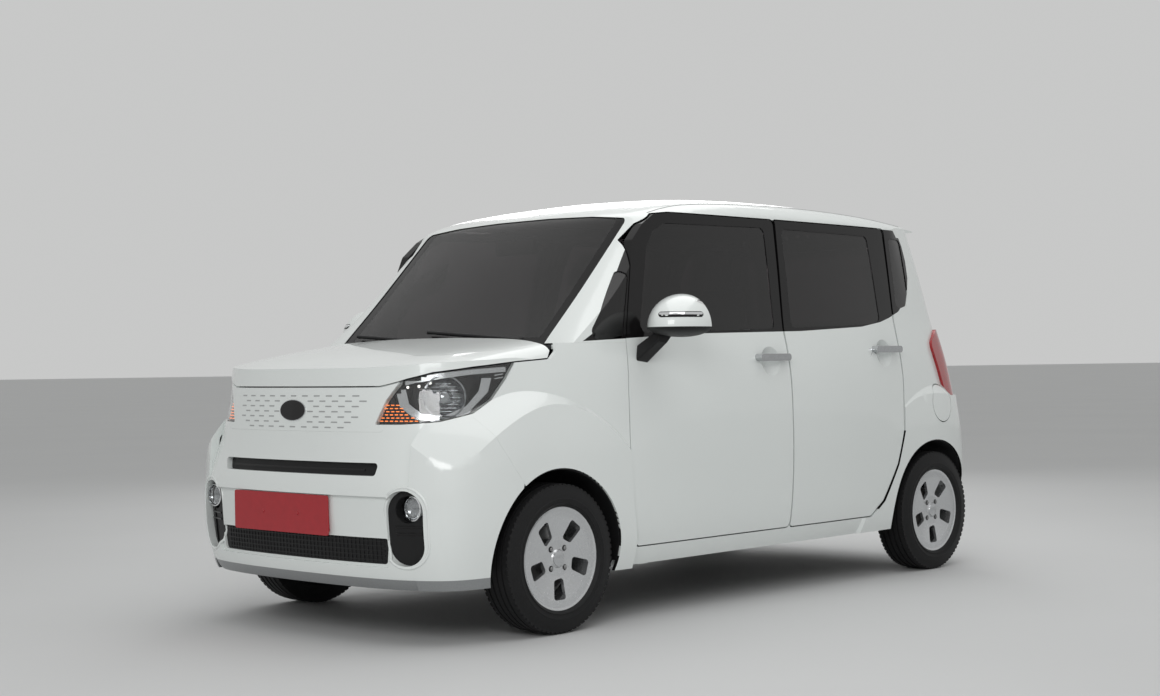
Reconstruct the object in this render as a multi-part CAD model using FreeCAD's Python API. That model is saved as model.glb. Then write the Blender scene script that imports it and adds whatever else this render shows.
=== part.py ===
"""A small tall car: panels cut from one lofted body, with glass, lamps, cabin and running gear.

Axes: +X towards the rear, +Y to the car's right, +Z up. Millimetres. The origin is on the ground,
at the middle of the length and width. Places in the tables are shares: X from the front axle as a
share of the wheelbase, Y as a share of half the width, Z as a share of the height.
"""
import FreeCAD
import Part
import math
import os

V = FreeCAD.Vector

# Overall sizes
LENGTH = 3595.0
WIDTH = 1595.0
HEIGHT = 1700.0
WHEELBASE = 2520.0
FRONT_OVERHANG = 637.5
TRACK = 1408.0
HALF_WIDTH = WIDTH / 2

# Wheels and tyres
TYRE_DIAMETER = 553.6
TYRE_WIDTH = 165.0
RIM_DIAMETER = 390.0
RIM_WIDTH = 140.0
RIM_WALL = 6.0
HUB_OFFSET = 45.0
BOLT_CIRCLE = 100.0
WHEEL_NUTS = 4
WHEEL_WINDOWS = 5
TYRE_RADIUS = TYRE_DIAMETER / 2
RIM_RADIUS = RIM_DIAMETER / 2

# Gaps, walls and glass
PANEL_GAP = 5.0
SEAT_GAP = 0.3
SPLINTER = 12.0
DOOR_THICKNESS = 62.0
FRAME_THICKNESS = 40.0
SIDE_THICKNESS = 75.0
ROOF_THICKNESS = 34.0
SKIN_THICKNESS = 16.0
BUMPER_THICKNESS = 30.0
TAILGATE_THICKNESS = 55.0
GLASS_THICKNESS = 5.0
GLASS_INSET = 3.0
FLOOR_THICKNESS = 26.0
ARCH_CLEARANCE = 55.0
ARCH_LINER = 5.0
OVERRUN = 60.0

# Places worked out from the sizes above
X_FRONT = -LENGTH / 2
X_REAR = LENGTH / 2
X_FRONT_AXLE = X_FRONT + FRONT_OVERHANG
X_REAR_AXLE = X_FRONT_AXLE + WHEELBASE
AXLE_HEIGHT = TYRE_RADIUS
WHEEL_PLANE = TRACK / 2
ARCH_RADIUS = TYRE_RADIUS + ARCH_CLEARANCE
LEFT, RIGHT = -1, 1


def at_x(share):
    """X of a share of the wheelbase behind the front axle."""
    return X_FRONT_AXLE + share * WHEELBASE


def at_y(share):
    """Y of a share of half the width."""
    return share * HALF_WIDTH


def at_z(share):
    """Z of a share of the height."""
    return share * HEIGHT


def side_points(shares):
    """Points (x, z) of a side view outline written in shares."""
    return [(at_x(x), at_z(z)) for x, z in shares]


def front_points(shares):
    """Points (y, z) of a front view outline written in shares."""
    return [(at_y(y), at_z(z)) for y, z in shares]


def mirrored_outline(shares):
    """A front view outline from its half with y >= 0, bottom to top."""
    return list(shares) + [(-y, z) for y, z in reversed(shares)]


# Outline tools

PLACES = {
    "side": lambda u, v, w: V(u, w, v),
    "front": lambda u, v, w: V(w, u, v),
    "top": lambda u, v, w: V(u, v, w),
}


def grown(points, amount):
    """The closed polygon with every side moved outwards by amount, inwards if it is negative."""
    n = len(points)
    area = sum(points[i - 1][0] * points[i][1] - points[i][0] * points[i - 1][1] for i in range(n))
    turn = 1.0 if area > 0 else -1.0
    result = []
    for i in range(n):
        (ax, ay), (bx, by), (cx, cy) = points[i - 1], points[i], points[(i + 1) % n]
        l1, l2 = math.hypot(bx - ax, by - ay), math.hypot(cx - bx, cy - by)
        n1 = (turn * (by - ay) / l1, -turn * (bx - ax) / l1)
        n2 = (turn * (cy - by) / l2, -turn * (cx - bx) / l2)
        k = amount / (1.0 + n1[0] * n2[0] + n1[1] * n2[1])
        result.append((bx + (n1[0] + n2[0]) * k, by + (n1[1] + n2[1]) * k))
    return result


def rounded_face(points, radius, plane, level):
    """A flat face with this outline, each corner rounded as far as its sides allow."""
    place = PLACES[plane]
    n = len(points)
    starts, mids, ends = [], [], []
    for i in range(n):
        p, a, b = V(*points[i], 0), V(*points[i - 1], 0), V(*points[(i + 1) % n], 0)
        u, w = (a - p), (b - p)
        reach = 0.48 * min(u.Length, w.Length)
        u.normalize()
        w.normalize()
        half = u.getAngle(w) / 2
        cut = min(radius / math.tan(half), reach)
        r = cut * math.tan(half)
        bisector = (u + w)
        if cut < 0.01 * radius or bisector.Length < 0.02 or radius == 0:
            starts.append(p)
            mids.append(None)
            ends.append(p)
            continue
        bisector.normalize()
        starts.append(p + u * cut)
        mids.append(p + bisector * (r / math.sin(half) - r))
        ends.append(p + w * cut)
    edges = []
    for i in range(n):
        if mids[i] is not None:
            trio = [place(q.x, q.y, level) for q in (starts[i], mids[i], ends[i])]
            edges.append(Part.Arc(*trio).toShape())
        a, b = ends[i], starts[(i + 1) % n]
        edges.append(Part.makeLine(place(a.x, a.y, level), place(b.x, b.y, level)))
    return Part.Face(Part.Wire(edges))


def prism(points, plane, start, end, radius=0):
    """The outline pushed from one level to the other, square to its plane."""
    face = rounded_face(points, radius, plane, start)
    return face.extrude(PLACES[plane](0, 0, end - start))


def box(x0, x1, y0, y1, z0, z1):
    """A box between two corners."""
    return Part.makeBox(x1 - x0, y1 - y0, z1 - z0, V(x0, y0, z0))


def ring(profile, centre, axis):
    """A solid of revolution of (radius, along) points about an axis through centre."""
    side = V(0, 0, 1) if abs(axis.z) < 0.9 else V(1, 0, 0)
    points = [centre + side * r + axis * a for r, a in profile]
    face = Part.Face(Part.makePolygon(points + points[:1]))
    return face.revolve(centre, axis, 360)


def rod(start, end, radius):
    """A round bar from start to end."""
    return Part.makeCylinder(radius, (end - start).Length, start, end - start)


def flipped(shape):
    """The mirror image on the car's other side."""
    return shape.mirror(V(0, 0, 0), V(0, 1, 0))


def joined(shapes):
    """One solid of shapes that overlap."""
    return shapes[0].multiFuse(list(shapes[1:])).removeSplitter() if len(shapes) > 1 else shapes[0]


def save(name, *shapes):
    """Write a node as a STEP file of one or more solids, without splinters."""
    solids = [s for shape in shapes for s in shape.Solids if s.Volume > SPLINTER ** 3]
    whole = solids[0] if len(solids) == 1 else Part.makeCompound(solids)
    whole.exportStep("parts/" + name + ".step")
    print(name, len(solids), whole.isValid(), flush=True)


# Body form
# Plan outlines: z, nose x, tail x, half width amidships, at the nose corner and at the tail corner, and how
# far back the nose corner runs.
LEVEL_SHARES = [
    (.1176, -.2397, 1.1528, .9154, .8777, .8853, .0992),
    (.1765, -.25, 1.1687, .963, .9254, .9379, .0992),
    (.2529, -.253, 1.1736, .9856, .9455, .958, .0992),
    (.3294, -.2524, 1.173, .9956, .9455, .958, .104),
    (.3882, -.2476, 1.1675, .9981, .9154, .9455, .123),
    (.4706, -.2452, 1.1571, .9956, .8853, .9204, .1627),
    (.5529, -.2405, 1.1468, .9856, .8777, .8978, .1786),
    (.6353, -.2341, 1.1341, .958, .8652, .8677, .1786),
    (.7647, -.2206, 1.1119, .9053, .815, .8226, .1746),
    (.8824, -.2063, 1.0881, .8577, .7649, .79, .1706),
    (.9647, -.1984, 1.0698, .8238, .7398, .7649, .1667),
    (1.0471, -.1905, 1.0492, .79, .7147, .7348, .1627),
]
# Corner curve: depth as a share of the corner depth, half width as a share of the corner's.
CORNER_SHARES = [(0.0029, 0.10), (0.11, 0.62), (0.30, 0.84), (0.60, 0.96), (1.0, 1.0)]
TAIL_CORNER_DEPTH = 215.0
# Along the side: x, and how far the width has grown from the corner's to the middle's.
FRONT_GROWTH_SHARES = [(0, 0.34), (.1587, 0.86)]
MIDDLE_SHARE = .4563
REAR_GROWTH_SHARES = [(.7738, 0.92), (.9325, 0.60)]
# Wheel bulges: the same plan, held wide at both corners.
BULGE_LEVEL_SHARES = [
    (.1176, -.2397, 1.1528, .9379, .9216, .9216, .0992),
    (.1765, -.25, 1.1687, .9755, .9429, .9429, .0992),
    (.2529, -.253, 1.1736, .9944, .963, .963, .0992),
    (.3529, -.2508, 1.1722, 1.0, .9655, .968, .0992),
    (.4353, -.246, 1.1627, .9944, .958, .963, .0992),
    (.5059, -.2429, 1.1556, .9806, .9429, .948, .0992),
    (.5882, -.2381, 1.1468, .958, .9229, .9279, .0992),
]
# The bulge's slope: radius from the axle as a share of the tyre's radius, and y.
BULGE_SLOPE_SHARES = [(1.80, 1.0408), (1.90, 1.0006), (1.98, .9755), (2.08, .9492), (2.20, .9129), (2.34, .8627),
                      (2.48, .8025), (2.58, .7524)]
# Roof and windscreen in side view: x, z, half width there, share of the edge's sweep.
TOP_SHARES = [
    (-.0317, .5235, .9091, 0.10), (.0373, .6341, .9053, 0.30), (.0992, .7341, .8853, 0.75),
    (.1635, .8353, .8577, 0.88), (.2143, .9094, .8376, 0.74), (.2444, .9412, .8288, 0.62),
    (.3016, .9694, .8238, 0.78), (.3968, .9906, .8238, 1.0), (.5159, .9994, .8238, 1.0),
    (.6746, 1.0, .8238, 1.0), (.8532, .9929, .8176, 1.0), (.9921, .9788, .8025, 1.0),
    (1.1111, .96, .7799, 1.0),
]
# Sweep across the car: share of the half width, how far the screen goes back, how far the roof drops.
SWEEP_SHARES = [(0, 0, 0), (0.3, .0024, .0024), (0.6, .0095, .0076), (0.8, .0175, .0153), (0.9, .0246, .0224),
                (0.96, .0349, .0329), (1.0, .0484, .0494), (1.05, .0698, .0859), (1.16, .0992, .1529),
                (1.32, .127, .2294)]
# Bonnet in side view, and its drop across the car: y, z.
BONNET_SHARES = [(-.2857, .5588), (-.2381, .58), (-.1587, .6071), (-.0714, .6282), (.0238, .6482),
                 (.0794, .6588)]
BONNET_DROP_SHARES = [(0, 0), (.3762, .0024), (.627, .0071), (.7774, .0153), (.8527, .0259), (.8928, .0471),
                      (.9154, .0706), (1.0031, .1529)]


def interpolated(points, spacing):
    """A spline edge through the points at shared parameters, so that lofts stay light."""
    total = sum(spacing)
    parameters = [sum(spacing[:i]) / total for i in range(len(points))]
    curve = Part.BSplineCurve()
    curve.interpolate(Points=points, Parameters=parameters)
    return curve.toShape()


def plan_half(row, inset):
    """Points of the left half of a plan outline, nose to tail."""
    z, nose, tail, middle, front, rear, reach = row
    level, half = at_z(z), at_y(middle)
    front_half, rear_half = at_y(front), at_y(rear)
    points = [V(at_x(nose) + inset, 0, level)]
    for depth, side in CORNER_SHARES:
        points.append(V(at_x(nose + depth * reach) + inset, side * (inset - front_half), level))
    for x, grown_share in FRONT_GROWTH_SHARES:
        points.append(V(at_x(x), inset - front_half - (half - front_half) * grown_share, level))
    points.append(V(at_x(MIDDLE_SHARE), inset - half, level))
    for x, grown_share in REAR_GROWTH_SHARES:
        points.append(V(at_x(x), inset - rear_half - (half - rear_half) * grown_share, level))
    for depth, side in reversed(CORNER_SHARES):
        points.append(V(at_x(tail) - inset - depth * TAIL_CORNER_DEPTH, side * (inset - rear_half), level))
    points.append(V(at_x(tail) - inset, 0, level))
    return points


def body_sides(inset, rows):
    """The plan outlines lofted upwards, moved inwards by inset."""
    middle = plan_half(rows[len(rows) // 2], 0)
    spacing = [(b - a).Length for a, b in zip(middle, middle[1:])]
    wires = []
    for row in rows:
        left = plan_half(row, inset)
        right = [V(p.x, -p.y, p.z) for p in reversed(left)]
        wires.append(Part.Wire([interpolated(left, spacing), interpolated(right, spacing[::-1])]))
    return Part.makeLoft(wires, True, False)


def closed_under(points, back, low):
    """A spline through the points, closed by straight lines back, down and forward."""
    first, last = points[0], points[-1]
    corners = [last, V(back, last.y, last.z), V(back, last.y, low), V(first.x, first.y, low), first]
    spacing = [1] * (len(points) - 1)
    lines = [Part.makeLine(a, b) for a, b in zip(corners, corners[1:])]
    return Part.Wire([interpolated(points, spacing)] + lines)


def cabin_top(inset):
    """The solid under the windscreen and roof, swept back and down towards its edges."""
    rows = [(-s, a, b) for s, a, b in reversed(SWEEP_SHARES[1:])] + SWEEP_SHARES
    path = [(at_x(x), at_z(z)) for x, z, _, _ in TOP_SHARES]
    last = len(path) - 1
    wires = []
    for share, screen, drop in rows:
        points = []
        for i, (x, z, half, sweep) in enumerate(TOP_SHARES):
            before, after = path[max(i - 1, 0)], path[min(i + 1, last)]
            run, rise = after[0] - before[0], after[1] - before[1]
            length = math.hypot(run, rise)
            steep = max(0, rise / length)
            points.append(V(
                path[i][0] + screen * WHEELBASE * steep * sweep + inset * rise / length,
                share * (at_y(half) - inset),
                path[i][1] - drop * HEIGHT * (1 - steep) * sweep - inset * run / length))
        wires.append(closed_under(points, X_REAR + OVERRUN, OVERRUN))
    return Part.makeLoft(wires, True, False)


def bonnet_top(inset):
    """The solid under the bonnet line."""
    rows = [(-y, z) for y, z in reversed(BONNET_DROP_SHARES[1:])] + BONNET_DROP_SHARES
    wires = []
    for y, drop in rows:
        points = [V(at_x(x), at_y(y), at_z(z - drop) - inset) for x, z in BONNET_SHARES]
        wires.append(closed_under(points, points[-1].x + PANEL_GAP, OVERRUN))
    return Part.makeLoft(wires, True, False)


def bulge(inset, axle_x):
    """The wide part of the body round a wheel, with its slope."""
    slope = [(r * TYRE_RADIUS - inset, at_y(y)) for r, y in BULGE_SLOPE_SHARES]
    outline = [(0, at_y(1.2))] + slope + [(0, slope[-1][1])]
    cones = []
    for side in (LEFT, RIGHT):
        profile = [(r, side * y) for r, y in outline]
        cones.append(ring(profile, V(axle_x, 0, AXLE_HEIGHT), V(0, 1, 0)))
    wide = body_sides(inset, BULGE_LEVEL_SHARES)
    return [wide.common(cone) for cone in cones]


class Form:
    """The body's outer solids at one inset, made when first asked for."""

    made = {}

    @classmethod
    def get(cls, name, inset):
        """One of the named solids at this inset."""
        if (name, inset) not in cls.made:
            cls.made[name, inset] = getattr(cls, name)(inset)
        return cls.made[name, inset]

    @staticmethod
    def plain(inset):
        """The lofted sides alone."""
        return body_sides(inset, LEVEL_SHARES)

    @staticmethod
    def cabin(inset):
        """Sides under the windscreen and roof."""
        return Form.get("plain", inset).common(cabin_top(inset))

    @staticmethod
    def nose(inset):
        """Sides with the front bulges, under the bonnet line."""
        return Form.get("front", inset).common(bonnet_top(inset))

    @staticmethod
    def front(inset):
        """Sides with the front wheel bulges."""
        return Form.get("plain", inset).multiFuse(bulge(inset, X_FRONT_AXLE))

    @staticmethod
    def rear(inset):
        """Cabin with the rear wheel bulges."""
        return Form.get("cabin", inset).multiFuse(bulge(inset, X_REAR_AXLE))


def skin(name, outer, inner, region):
    """The part of a region between two insets of a body form."""
    return region.common(Form.get(name, outer)).cut(Form.get(name, inner))


# Panel outlines in side view
FRONT_DOOR_SHARES = [
    (.1706, .1682), (.1571, .2647), (.1512, .3824), (.1524, .5176), (.1575, .63),
    (.2044, .8647), (.2341, .9047), (.2639, .9294), (.3016, .9353), (.5714, .9365), (.5496, .6606), (.5532, .5335), (.554, .1682),
]
REAR_DOOR_FRONT_SHARES = [(.5714, .9365), (.5496, .6606), (.5532, .5335), (.554, .1682)]
REAR_DOOR_BACK_SHARES = [
    (.7976, .1682), (.8333, .2059), (.875, .3), (.8976, .3882), (.904, .5294),
    (.8992, .6853), (.9095, .9365),
]
DOOR_CORNER = 22.0
FRONT_GLASS_SHARES = [
    (.1897, .6506), (.2341, .8471), (.254, .8871), (.2857, .9094), (.5429, .9153), (.5278, .6612),
]
REAR_GLASS_SHARES = [(.5754, .6635), (.5921, .9153), (.8532, .9129), (.8532, .6859), (.8254, .6753)]
CORNER_GLASS_SHARES = [(.0762, .6365), (.1976, .8447), (.1508, .6365)]
QUARTER_GLASS_SHARES = [(.9198, .7153), (.9294, .9129), (.9802, .9106), (.977, .7647), (.9603, .7271)]
GLASS_CORNER = 26.0
BELT_SHARES = [(.0595, .63), (.1575, .6353), (.3349, .6476), (.6016, .6547), (.7937, .6688), (1.0317, .6941)]


def door_panel(outline):
    """A left door: full thickness below the glass, a thinner frame round it."""
    region = prism(outline, "side", -HALF_WIDTH - OVERRUN, -HALF_WIDTH / 2, DOOR_CORNER)
    whole = skin("plain", 0, DOOR_THICKNESS, region)
    low, high = min(z for x, z in outline), max(z for x, z in outline)
    belt = side_points(BELT_SHARES)
    above = prism(belt + [(belt[-1][0], high + OVERRUN), (belt[0][0], high + OVERRUN)], "side",
                  -HALF_WIDTH, -HALF_WIDTH / 2)
    return whole.cut(above.common(Form.get("plain", FRAME_THICKNESS)))


def glazed(panel, outline, form, opening_depth):
    """The panel with a window cut in it, and the glass that fits the window."""
    hole = prism(outline, "side", -HALF_WIDTH - OVERRUN, -opening_depth, GLASS_CORNER)
    pane = prism(grown(outline, -SEAT_GAP), "side", -HALF_WIDTH - OVERRUN, -opening_depth, GLASS_CORNER)
    return panel.cut(hole), skin(form, GLASS_INSET, GLASS_INSET + GLASS_THICKNESS, pane)


# Door handles: a bar across a round dish. Centres x, z.
FRONT_HANDLE_SHARES = (.5032, .5906)
REAR_HANDLE_SHARES = (.8492, .6082)
HANDLE_LENGTH = 205.0
HANDLE_HEIGHT = 30.0
HANDLE_REACH = 34.0
HANDLE_BAR = 16.0
DISH_RADIUS = 62.0
DISH_DEPTH = 16.0


def surface_y(x, z):
    """Y of the left outer surface at this place."""
    line = Part.makeLine(V(x, -HALF_WIDTH - OVERRUN, z), V(x, -HALF_WIDTH / 2, z))
    inside = line.common(Form.get("plain", 0))
    return inside.BoundBox.YMin


def with_handle(door, shares):
    """A door with a round dish and a pull bar over it."""
    x, z = at_x(shares[0]), at_z(shares[1])
    y = surface_y(x, z)
    ball = (DISH_RADIUS ** 2 + DISH_DEPTH ** 2) / (2 * DISH_DEPTH)
    dish = Part.makeSphere(ball, V(x, y - ball + DISH_DEPTH, z))
    half, tall = HANDLE_LENGTH / 2, HANDLE_HEIGHT / 2
    outline = [(x - half, z - tall), (x + half, z - tall), (x + half, z + tall), (x - half, z + tall)]
    bar = prism(outline, "side", y - HANDLE_REACH, y + DISH_DEPTH, tall)
    inner = [(x - half + tall, z - tall - PANEL_GAP), (x + half - tall, z - tall - PANEL_GAP),
             (x + half - tall, z + tall + PANEL_GAP), (x - half + tall, z + tall + PANEL_GAP)]
    under = prism(inner, "side", y - HANDLE_REACH + HANDLE_BAR, y + DISH_DEPTH + PANEL_GAP)
    grip = bar.cut(under)
    return joined([door.cut(dish), grip])


# Mirrors: the foot stands on the door under the belt, the shell over it.
MIRROR_CENTRE_SHARES = (.2206, 1.1285, .6612)
MIRROR_DEPTH = 172.0
MIRROR_WIDTH = 244.0
MIRROR_RISE = 128.0
MIRROR_BELLY = 38.0
MIRROR_TURN = 14.0
MIRROR_FOOT_SHARES = [(.173, .5859), (.177, .6224), (.2206, .6294), (.2159, .6059), (.1968, .5794)]
MIRROR_LIP = 8.0
MIRROR_LIFT = 70.0
MIRROR_REACH = 70.0


def mirror_egg(thinner):
    """An egg shape, tall above its middle and flat below it, thinner by this much all round."""
    halves = []
    for tall, low, high in ((MIRROR_RISE, 0, 1), (MIRROR_BELLY, -1, 0)):
        stretch = FreeCAD.Matrix()
        stretch.scale(MIRROR_DEPTH - thinner, MIRROR_WIDTH / 2 - thinner, tall - thinner)
        half = Part.makeSphere(1.0).common(box(-1, 1, -1, 1, low, high))
        halves.append(half.transformGeometry(stretch))
    return joined(halves)


def mirror():
    """The left door mirror: an egg-shaped shell cut flat behind, with its foot."""
    x, y, z = at_x(MIRROR_CENTRE_SHARES[0]), -at_y(MIRROR_CENTRE_SHARES[1]), at_z(MIRROR_CENTRE_SHARES[2])
    deep, wide, tall = MIRROR_DEPTH, MIRROR_WIDTH, MIRROR_RISE
    ahead = box(-2 * deep, MIRROR_LIP, -wide, wide, -tall, 2 * tall)
    hollow = box(-MIRROR_LIP, MIRROR_LIP, -wide, wide, -tall, 2 * tall)
    shell = mirror_egg(0).common(ahead).cut(mirror_egg(MIRROR_LIP).common(hollow))
    shell.rotate(V(0, 0, 0), V(0, 0, 1), MIRROR_TURN)
    shell.translate(V(x, y, z))
    foot_points = side_points(MIRROR_FOOT_SHARES)
    low = rounded_face(foot_points, MIRROR_LIP, "side", DOOR_THICKNESS / 2 - HALF_WIDTH).OuterWire
    lift = [(px + MIRROR_LIP, pz + MIRROR_LIFT) for px, pz in grown(foot_points, -MIRROR_LIP)]
    high = rounded_face(lift, MIRROR_LIP, "side", -HALF_WIDTH - MIRROR_REACH).OuterWire
    foot = Part.makeLoft([low, high], True, False).cut(Form.get("plain", -SEAT_GAP))
    return joined([shell, foot])


# Roof, windscreen and rear end
ROOF_HALF_SHARE = .7975
ROOF_FRONT_SHARE = .2246
ROOF_BACK_SHARE = 1.027
ROOF_LOW_SHARE = .9176
SCREEN_SHARES = [(.7649, .6153), (.7599, .6424), (.7386, .9212), (.5016, .9318), (.2006, .9365)]
SCREEN_BACK_SHARE = .2857
SCREEN_CORNER = 30.0
TAILGATE_SHARES = [(.7524, .3529), (.7799, .4824), (.7824, .6647), (.7373, .8824), (.7022, .9765)]
TAILGATE_FRONT_SHARE = 1.0294
TAILGATE_CORNER = 40.0
REAR_WINDOW_SHARES = [(.652, .6765), (.637, .8647), (.6019, .9059)]
REAR_BUMPER_SHARES = [(1.1095, .1176), (1.104, .2353), (1.1159, .3294), (1.1254, .3482), (1.2063, .3482),
                      (1.2063, .1176)]
PLATE_POCKET_SHARES = [(.326, .4235), (.326, .5176)]
TAIL_LAMP_SHARES = [(1.0619, .4776), (1.0476, .5471), (1.031, .6247), (1.0714, .6635), (1.1746, .6635),
                    (1.1746, .4776)]
SPOILER_SHARES = [(1.031, .9353), (1.031, 1.0), (1.0921, 1.0), (1.0881, .9435)]


def screen_region(growth):
    """Everything in front of and behind the windscreen's outline."""
    outline = grown(front_points(mirrored_outline(SCREEN_SHARES)), growth)
    return prism(outline, "front", X_FRONT, at_x(SCREEN_BACK_SHARE), SCREEN_CORNER)


def roof_region(growth):
    """The box that the roof panel is cut from."""
    half = at_y(ROOF_HALF_SHARE) + growth
    return box(at_x(ROOF_FRONT_SHARE) - growth, at_x(ROOF_BACK_SHARE) + growth, -half, half,
               at_z(ROOF_LOW_SHARE), HEIGHT + OVERRUN)


def tailgate_region(growth):
    """Everything behind the tailgate's outline."""
    outline = grown(front_points(mirrored_outline(TAILGATE_SHARES)), growth)
    return prism(outline, "front", at_x(TAILGATE_FRONT_SHARE) - growth, X_REAR + 2 * OVERRUN, TAILGATE_CORNER)


def rear_bumper_region(growth):
    """The rear bumper's slab, seen from the side."""
    outline = grown(side_points(REAR_BUMPER_SHARES), growth)
    return prism(outline, "side", -HALF_WIDTH - OVERRUN, HALF_WIDTH + OVERRUN)


def tail_lamp_region(growth):
    """The left tail lamp's slab, outside the tailgate."""
    outline = grown(side_points(TAIL_LAMP_SHARES), growth)
    slab = prism(outline, "side", -HALF_WIDTH - OVERRUN, -at_y(.627), TAILGATE_CORNER)
    return slab.cut(tailgate_region(PANEL_GAP - growth))


# Front end
BONNET_LINE_SHARES = [
    (-.2778, .5418), (-.2222, .5418), (-.2044, .5565), (-.1925, .5635), (-.181, .5694), (-.1325, .5794),
    (-.0556, .59), (.0024, .5959), (.0135, .6118), (.0143, .6765), (-.2778, .6765),
]
LAMP_SHARES = [
    (-.2778, .4624), (-.2143, .4624), (-.1802, .4676), (-.1385, .4829), (-.1024, .5106), (-.0754, .5529),
    (-.0556, .5941), (-.0556, .6235), (-.2778, .6235),
]
LAMP_INNER_SHARES = [(.5354, .4118), (.5354, .4635), (.5793, .5118), (.627, .5441), (.652, .6471),
                     (1.1285, .6471), (1.1285, .4118)]
LAMP_DEPTH = 150.0
LAMP_FOOT_SHARES = (-.2381, -.1746, .627, .7273, .4294, .4941)
FRONT_PANEL_SHARES = [(.5793, .4453), (.5868, .4706), (.7147, .5941)]
FRONT_PANEL_CORNER = 34.0
BUMPER_SEAM_SHARES = [(-.2778, .1176), (-.1032, .1176), (-.0754, .3312), (-.119, .4176), (-.1452, .4812),
                      (-.1508, .5882), (-.2778, .5882)]
FENDER_SHARES = [
    (-.0754, .3312), (-.119, .4176), (-.1452, .4812), (-.1476, .5294), (-.0794, .5894), (-.0556, .59),
    (.0024, .5959), (.0135, .6118), (.0159, .6282), (.1575, .6282), (.1524, .5176), (.1512, .3824),
    (.1571, .2647), (.1667, .1941), (.1667, .1176), (.0794, .1176),
]
SLOT_GRILLE_SHARES = [(.5592, .3541), (.5718, .3812)]
LOWER_GRILLE_SHARES = [(.6094, .1706), (.627, .2247)]
PLATE_FIELD_SHARES = [(.6395, .1647), (.6445, .3118)]
PLATE_FIELD_DEPTH = 14.0
FOG_SHARES = [(.6194, .1694), (.8176, .1694), (.8176, .3253), (.6194, .3253)]
FOG_RIM = 12.0
FOG_LAMP_SHARES = (.721, .2859)
FOG_LAMP_RADIUS = 48.0
GRILLE_INSET = 22.0
GRILLE_BACK = 46.0
PLATE_WIDTH = 570.0
PLATE_HEIGHT = 146.0
PLATE_THICKNESS = 4.0
PLATE_CENTRE_SHARES = (.0853, .2665)
PLATE_BRACKET = 10.0
PLATE_BOLT_SPACING = 210.0
PLATE_BOLT_RADIUS = 3.25


def bonnet_region(growth):
    """The bonnet's slab, seen from the side."""
    outline = grown(side_points(BONNET_LINE_SHARES), growth)
    return prism(outline, "side", -HALF_WIDTH - OVERRUN, HALF_WIDTH + OVERRUN, PANEL_GAP)


def lamp_region(growth):
    """The left headlamp: its side outline within its front outline, under the bonnet."""
    side = prism(grown(side_points(LAMP_SHARES), growth), "side", -HALF_WIDTH - OVERRUN, 0, PANEL_GAP)
    inner = [(-y, z) for y, z in grown(front_points(LAMP_INNER_SHARES), growth)]
    front = prism(inner, "front", X_FRONT - OVERRUN, at_x(0), PANEL_GAP)
    return side.common(front).cut(bonnet_region(PANEL_GAP - growth))


def front_panel_region(growth):
    """The panel between the lamps, above the bumper."""
    outline = grown(front_points(mirrored_outline(FRONT_PANEL_SHARES)), growth)
    return prism(outline, "front", X_FRONT - OVERRUN, at_x(-.1786), FRONT_PANEL_CORNER)


def bumper_region(growth):
    """The bumper's slab, seen from the side."""
    outline = grown(side_points(BUMPER_SEAM_SHARES), growth)
    return prism(outline, "side", -HALF_WIDTH - OVERRUN, HALF_WIDTH + OVERRUN)


def arch_cut(axle_x, radius, reach):
    """The round space about a wheel, on both sides."""
    spaces = []
    for side in (LEFT, RIGHT):
        start, end = side * (HALF_WIDTH + OVERRUN), side * reach
        spaces.append(rod(V(axle_x, start, AXLE_HEIGHT), V(axle_x, end, AXLE_HEIGHT), radius))
    return spaces


def cut_all(shape, tools):
    """The shape less every tool."""
    return shape.cut(list(tools))


ARCH_REACH_SHARE = .5643
FRONT_ARCHES = arch_cut(X_FRONT_AXLE, ARCH_RADIUS, at_y(ARCH_REACH_SHARE))
REAR_ARCHES = arch_cut(X_REAR_AXLE, ARCH_RADIUS, at_y(ARCH_REACH_SHARE))


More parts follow.
